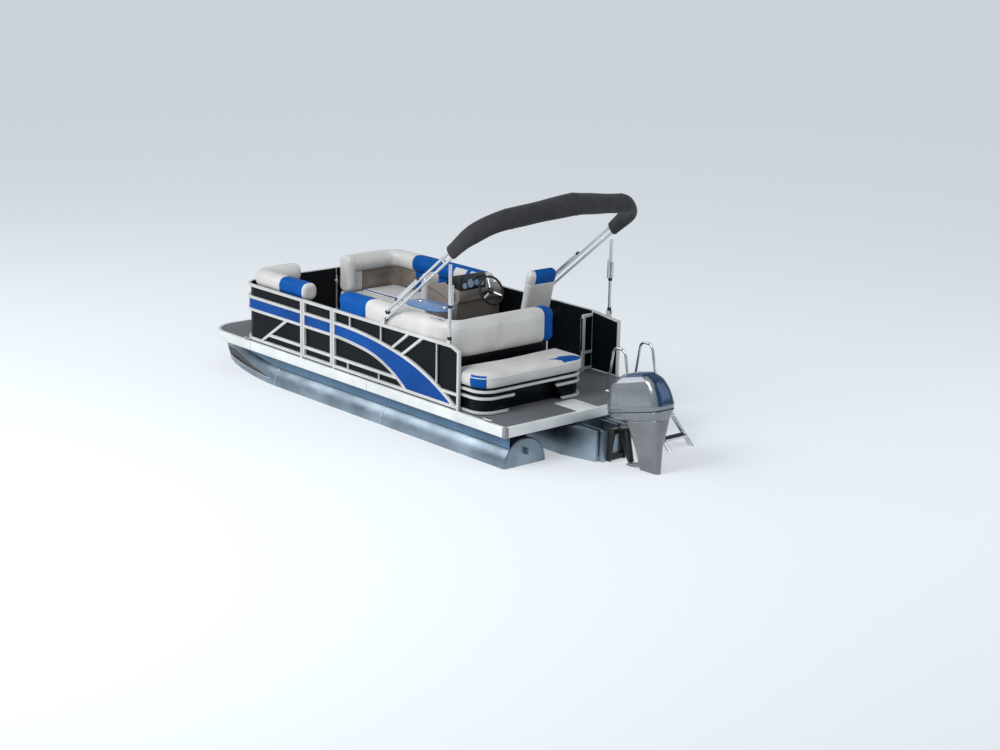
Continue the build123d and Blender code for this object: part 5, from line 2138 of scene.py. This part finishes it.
@dataclass
class Outboard:
    """Motor: smooth cowling over a tapering leg, with its bracket and propeller."""

    pin: tuple = (-0.44, 0.33)
    trim: float = 13.0
    upper: tuple = (
        (0.545, -0.43, -1.19, 0.215, 0.15, 0.14, 0.115),
        (0.6, -0.43, -1.2, 0.219, 0.15, 0.14, 0.115),
        (0.7, -0.445, -1.19, 0.215, 0.14, 0.14, 0.11),
        (0.8, -0.49, -1.155, 0.2, 0.125, 0.13, 0.1),
        (0.88, -0.56, -1.095, 0.175, 0.112, 0.12, 0.09),
        (0.935, -0.665, -1.015, 0.12, 0.08, 0.09, 0.07),
    )
    lower: tuple = (
        (0.45, -0.62, -1.14, 0.15, 0.11, 0.1, 0.09),
        (0.485, -0.5, -1.16, 0.195, 0.14, 0.12, 0.11),
        (0.545, -0.43, -1.19, 0.215, 0.15, 0.14, 0.115),
    )
    leg: tuple = (
        (-0.19, -0.7, -0.94, 0.038, 0.03, 0.036, 0.028),
        (0.16, -0.69, -1.02, 0.08, 0.06, 0.06, 0.05),
        (0.36, -0.66, -1.11, 0.13, 0.09, 0.09, 0.08),
        (0.46, -0.64, -1.14, 0.16, 0.11, 0.1, 0.09),
    )

    def turn(self, points: Array) -> Array:
        """Points turned about the tilt pin: x' = x cos t + z sin t, z' = z cos t - x sin t.

        Args:
            points: Points (..., 3).

        Returns:
            The turned points.
        """
        t = math.radians(self.trim)
        c = np.array([self.pin[0] - MID, 0, self.pin[1]])
        d = points - c
        x = d[..., 0] * math.cos(t) + d[..., 2] * math.sin(t)
        z = d[..., 2] * math.cos(t) - d[..., 0] * math.sin(t)
        return c + np.stack([x, d[..., 1], z], -1)

    def rows(self, table: tuple, levels: Array) -> Array:
        """Columns of a table at given levels, eased through the rows by cubic pieces.

        With s the share of the way from row k to the next, h their distance and m the slopes,
        a column is (2s^3 - 3s^2 + 1) v0 + (s^3 - 2s^2 + s) h m0 + (3s^2 - 2s^3) v1
        + (s^3 - s^2) h m1.

        Args:
            table: Rows of level and columns, levels rising.
            levels: Heights (n,).

        Returns:
            Columns (n, columns).
        """
        t = np.array(table)
        z, v = t[:, 0], t[:, 1:]
        slope = np.gradient(v, z, axis=0)
        k = np.clip(np.searchsorted(z, levels) - 1, 0, len(z) - 2)
        h = (z[k + 1] - z[k])[:, None]
        s = ((levels - z[k])[:, None]) / h
        a = (2 * s**3 - 3 * s**2 + 1) * v[k] + (s**3 - 2 * s**2 + s) * h * slope[k]
        b = (3 * s**2 - 2 * s**3) * v[k + 1] + (s**3 - s**2) * h * slope[k + 1]
        return a + b

    def outline(self, columns: Array, count: int = 12) -> Array:
        """Rounded trapezoids: two arcs on each side, tangent to front, side and back.

        With g the slant of the side, the front arc turns from 0 to 90 + g degrees and the back
        arc on to 180.

        Args:
            columns: Front, back, half widths and radii of each level (n, 6).
            count: Points on each arc.

        Returns:
            Rings (n, 4 count, 2).
        """
        front, back, wf, wa, rf, ra = (columns[:, q, None] for q in range(6))
        g = np.arctan2(wf - wa, front - back)
        k = np.linspace(0, 1, count)[None, :]
        w0 = k * (np.pi / 2 + g)
        w1 = (np.pi / 2 + g) + k * (np.pi / 2 - g)
        y0 = wf - rf * (1 + np.sin(g)) / np.cos(g)
        y1 = wa - ra * (1 - np.sin(g)) / np.cos(g)
        x = np.concatenate([front - rf + rf * np.cos(w0), back + ra + ra * np.cos(w1)], axis=1)
        y = np.concatenate([y0 + rf * np.sin(w0), y1 + ra * np.sin(w1)], axis=1)
        half = np.stack([x, y], -1)
        other = half[:, ::-1] * np.array([1, -1])
        return np.concatenate([half, other], axis=1)

    def rings(self, table: tuple, levels: Array, grow: Array | float) -> Array:
        """A table's outlines at given levels, each point moved out from its ring's middle.

        Args:
            table: Rows of level, front, back, half widths and radii.
            levels: Heights (n,).
            grow: Distance outwards, one or one for each level.

        Returns:
            Rings (n, m, 2).
        """
        rings = self.outline(self.rows(table, levels))
        middle = rings.mean(1, keepdims=True)
        reach = np.linalg.norm(rings - middle, axis=2, keepdims=True)
        return rings + (rings - middle) / reach * np.asarray(grow, float).reshape(-1, 1, 1)

    def stacked(self, rings: Array, levels: Array) -> Array:
        """Grid of rings, each at its level, before the turn to the trim."""
        return lifted(rings - np.array([MID, 0.0]), levels)

    def shell(self, name: str, table: tuple, levels: Array, grow: float) -> Object:
        """Smooth skin through a table's outlines, turned to the trim."""
        return skin(name, self.turn(self.stacked(self.rings(table, levels, grow), levels)))

    def cowling(self) -> None:
        """Upper cowling with a rounded crown, a ledge above the seam and a dark back."""
        levels = np.concatenate([[0.551], np.linspace(0.556, 0.93, 44)])
        lip = 0.005 * np.exp(-(((levels - 0.597) / 0.012) ** 2))
        ledge = lip - 0.004 * np.exp(-(((levels - 0.553) / 0.004) ** 2))
        rings = self.rings(self.upper, levels, ledge)
        # Above the last level the crown closes as an ellipse, sqrt(1 - w^2) wide at 0.018 w.
        w = np.linspace(0, 1, 10)[1:-1]
        middle = rings[-1].mean(0)
        crown = middle + (rings[-1] - middle) * np.sqrt(1 - w**2)[:, None, None]
        levels = np.concatenate([levels, 0.93 + 0.018 * w])
        grid = self.stacked(np.concatenate([rings, crown]), levels)
        obj = skin("cowling_shell", self.turn(grid))
        paint(obj, Paint.LACQUER, Paint.LACQUER_BLUE)
        m = grid.shape[1]
        mid = (
            grid[:-1] + np.roll(grid[:-1], -1, axis=1) + grid[1:] + np.roll(grid[1:], -1, axis=1)
        ) / 4
        x, y, z = mid[..., 0] + MID, np.abs(mid[..., 1]), mid[..., 2]
        # The dark part is the aft half of the crown and a band down the back, wider at its foot.
        band = (x < -0.98) & (y < 0.075 + 0.05 * (0.93 - z) / 0.38) & (z > 0.6)
        dark = ((z > 0.915) & (x < -0.84)) | band
        number_faces(obj, np.concatenate([dark.ravel(), np.zeros(m, bool), np.ones(m, bool)]))
        settle(obj, None, "outboard", ("outboard_cowling",))
        seam = self.shell("cowling_seam", self.upper, np.linspace(0.5455, 0.5565, 4), 0.0015)
        settle(seam, Paint.RUBBER, "outboard")
        # The air slits are black leaves on the cowling: painted shade in the intakes. The grip at
        # the back is black.
        slits = []
        for side in (1, -1):
            k = np.linspace(-1, 1, 13)
            path = np.stack(
                [-0.66 - 0.06 * k - MID, side * (0.158 - 0.004 * k**2), 0.873 - 0.006 * k], 1
            )
            ring = plate(0.02, 0.012, 0.005)[None] * (1.02 - np.abs(k[:, None, None]))
            slits.append(skin("slit", self.turn(carry(path, ring))))
        path = np.stack([np.full(9, -1.0 - MID), np.linspace(-0.05, 0.05, 9), np.full(9, 0.925)], 1)
        slits.append(skin("grip", self.turn(carry(path, plate(0.04, 0.02, 0.008)))))
        settle(joined("cowling_slits", slits), Paint.RUBBER, "outboard")

    def trims(self) -> None:
        """Lower pan and leg cover over the solid, and the dark castings."""
        pan = self.shell("lower_pan", self.lower, np.linspace(0.452, 0.545, 14), 0.002)
        settle(pan, Paint.LACQUER, "outboard")
        cover = self.shell("leg_cover", self.leg, np.linspace(-0.185, 0.452, 30), 0.002)
        settle(cover, Paint.LEG_GREY, "outboard")
        dress("outboard_leg", 0.003, Paint.LEG_GREY)
        for node in ("outboard_clamp", "outboard_swivel"):
            dress(node, 0.004, Paint.CAST)
        dress("propeller", 0.002, Paint.CAST)

    def build(self) -> None:
        """The motor."""
        self.cowling()
        self.trims()


@dataclass
class Studio:
    """Pale floor at the waterline, soft lamps and the camera at the picture's angle."""

    azimuth: float = 138.559
    elevation: float = 14.908
    roll: float = 1.190
    place: tuple = (-14.4031 - MID, 14.0248, 5.7036 + FLOOR)
    lens: float = 70.369

    def floor(self) -> None:
        """Wide pale floor, seen plain by the camera and in reflections."""
        mesh = bpy.data.meshes.new("studio_floor")
        mesh.from_pydata(
            [(-150, -150, 0), (150, -150, 0), (150, 150, 0), (-150, 150, 0)], [], [(0, 1, 2, 3)]
        )
        obj = in_scene("studio_floor", mesh)
        mat = bpy.data.materials.new("studio_floor")
        mat.use_nodes = True
        shader = mat.node_tree.nodes["Principled BSDF"]
        shader.inputs["Base Color"].default_value = linear("#aeb2b6")
        shader.inputs["Roughness"].default_value = 0.9
        shader.inputs["Emission Color"].default_value = linear("#dfe3e6")
        shader.inputs["Emission Strength"].default_value = 0.55
        mesh.materials.append(mat)

    def world(self) -> None:
        """Even light from the sky, white to the camera and in reflections."""
        world = bpy.data.worlds.new("studio")
        bpy.context.scene.world = world
        world.use_nodes = True
        tree = world.node_tree
        back = tree.nodes["Background"]
        ray = add(tree, "LightPath")
        most = add(
            tree, "Math", {"operation": "MAXIMUM"},
            {0: ray.outputs["Is Camera Ray"], 1: ray.outputs["Is Transmission Ray"]}
        )
        sky = add(tree, "Background", {"Color": linear("#eef1f4"), "Strength": 1.0})
        back.inputs["Color"].default_value = linear("#dfe8f2")
        back.inputs["Strength"].default_value = 0.55
        mix = add(
            tree, "MixShader", links={0: most.outputs[0], 1: back.outputs[0], 2: sky.outputs[0]}
        )
        tree.links.new(mix.outputs[0], tree.nodes["World Output"].inputs[0])

    def lamp(self, name: str, spot: tuple, size: float, power: float) -> None:
        """Square soft lamp that looks at the boat's middle.

        Args:
            name: Name of the lamp.
            spot: Its place.
            size: Length of a side.
            power: Power in watts.
        """
        light = bpy.data.lights.new(name, "AREA")
        light.size = size
        light.energy = power
        obj = in_scene(name, light)
        obj.location = spot
        obj.rotation_mode = "QUATERNION"
        obj.rotation_quaternion = (Vector((0, 0, 0.5)) - Vector(spot)).to_track_quat("-Z", "Y")

    def camera(self) -> None:
        """Camera fitted to the picture: its axes from azimuth, elevation and roll."""
        az, el, ro = (math.radians(v) for v in (self.azimuth, self.elevation, self.roll))
        back = Vector((math.cos(el) * math.cos(az), math.cos(el) * math.sin(az), math.sin(el)))
        right = Vector((0, 0, 1)).cross(back).normalized()
        up = back.cross(right)
        r = right * math.cos(ro) + up * math.sin(ro)
        u = up * math.cos(ro) - right * math.sin(ro)
        data = bpy.data.cameras.new("camera")
        data.lens = self.lens
        data.sensor_width = 36
        data.clip_end = 200
        obj = in_scene("camera", data)
        turn = Matrix((r, u, back)).transposed().to_4x4()
        obj.matrix_world = Matrix.Translation(self.place) @ turn
        bpy.context.scene.camera = obj

    def build(self) -> None:
        """The whole set."""
        self.floor()
        self.world()
        self.lamp("key", (-2, 10, 9), 6, 1150)
        self.lamp("fill", (-10, -6, 7), 8, 330)
        self.lamp("front", (8, 8, 8), 8, 500)
        self.camera()
        bpy.context.scene.view_settings.view_transform = "Standard"


def main() -> None:
    """Builds each assembly in order, then blows up and finishes the pads."""
    logging.basicConfig(level=logging.INFO, format="%(message)s")
    Hull().build()
    Deck().build()
    Fence().build()
    couches = [
        Couch(Side.PORT, aft=3.67, inner=0.47, back_aft=3.66, back_end=0.48, blue=(0.04, 0.5)),
        Couch(
            Side.STARBOARD, aft=3.38, inner=0.45, back_aft=2.9, back_end=0.23, blue=(0.05, 1.33)
        ),
    ]
    pads: list = []
    for couch in couches:
        couch.build()
        pads += couch.pads
    build_rest(pads)
    for assembly in (Lounge(), Helm(), Table(), FoldingTop(), Ladder(), Outboard(), Studio()):
        LOG.info("assembly %s", type(assembly).__name__)
        assembly.build()
        pads += getattr(assembly, "pads", [])
    simulate([pad for pad, _ in pads])
    for pad, fill in pads:
        finish_pad(pad)


if __name__ == "__main__":
    main()
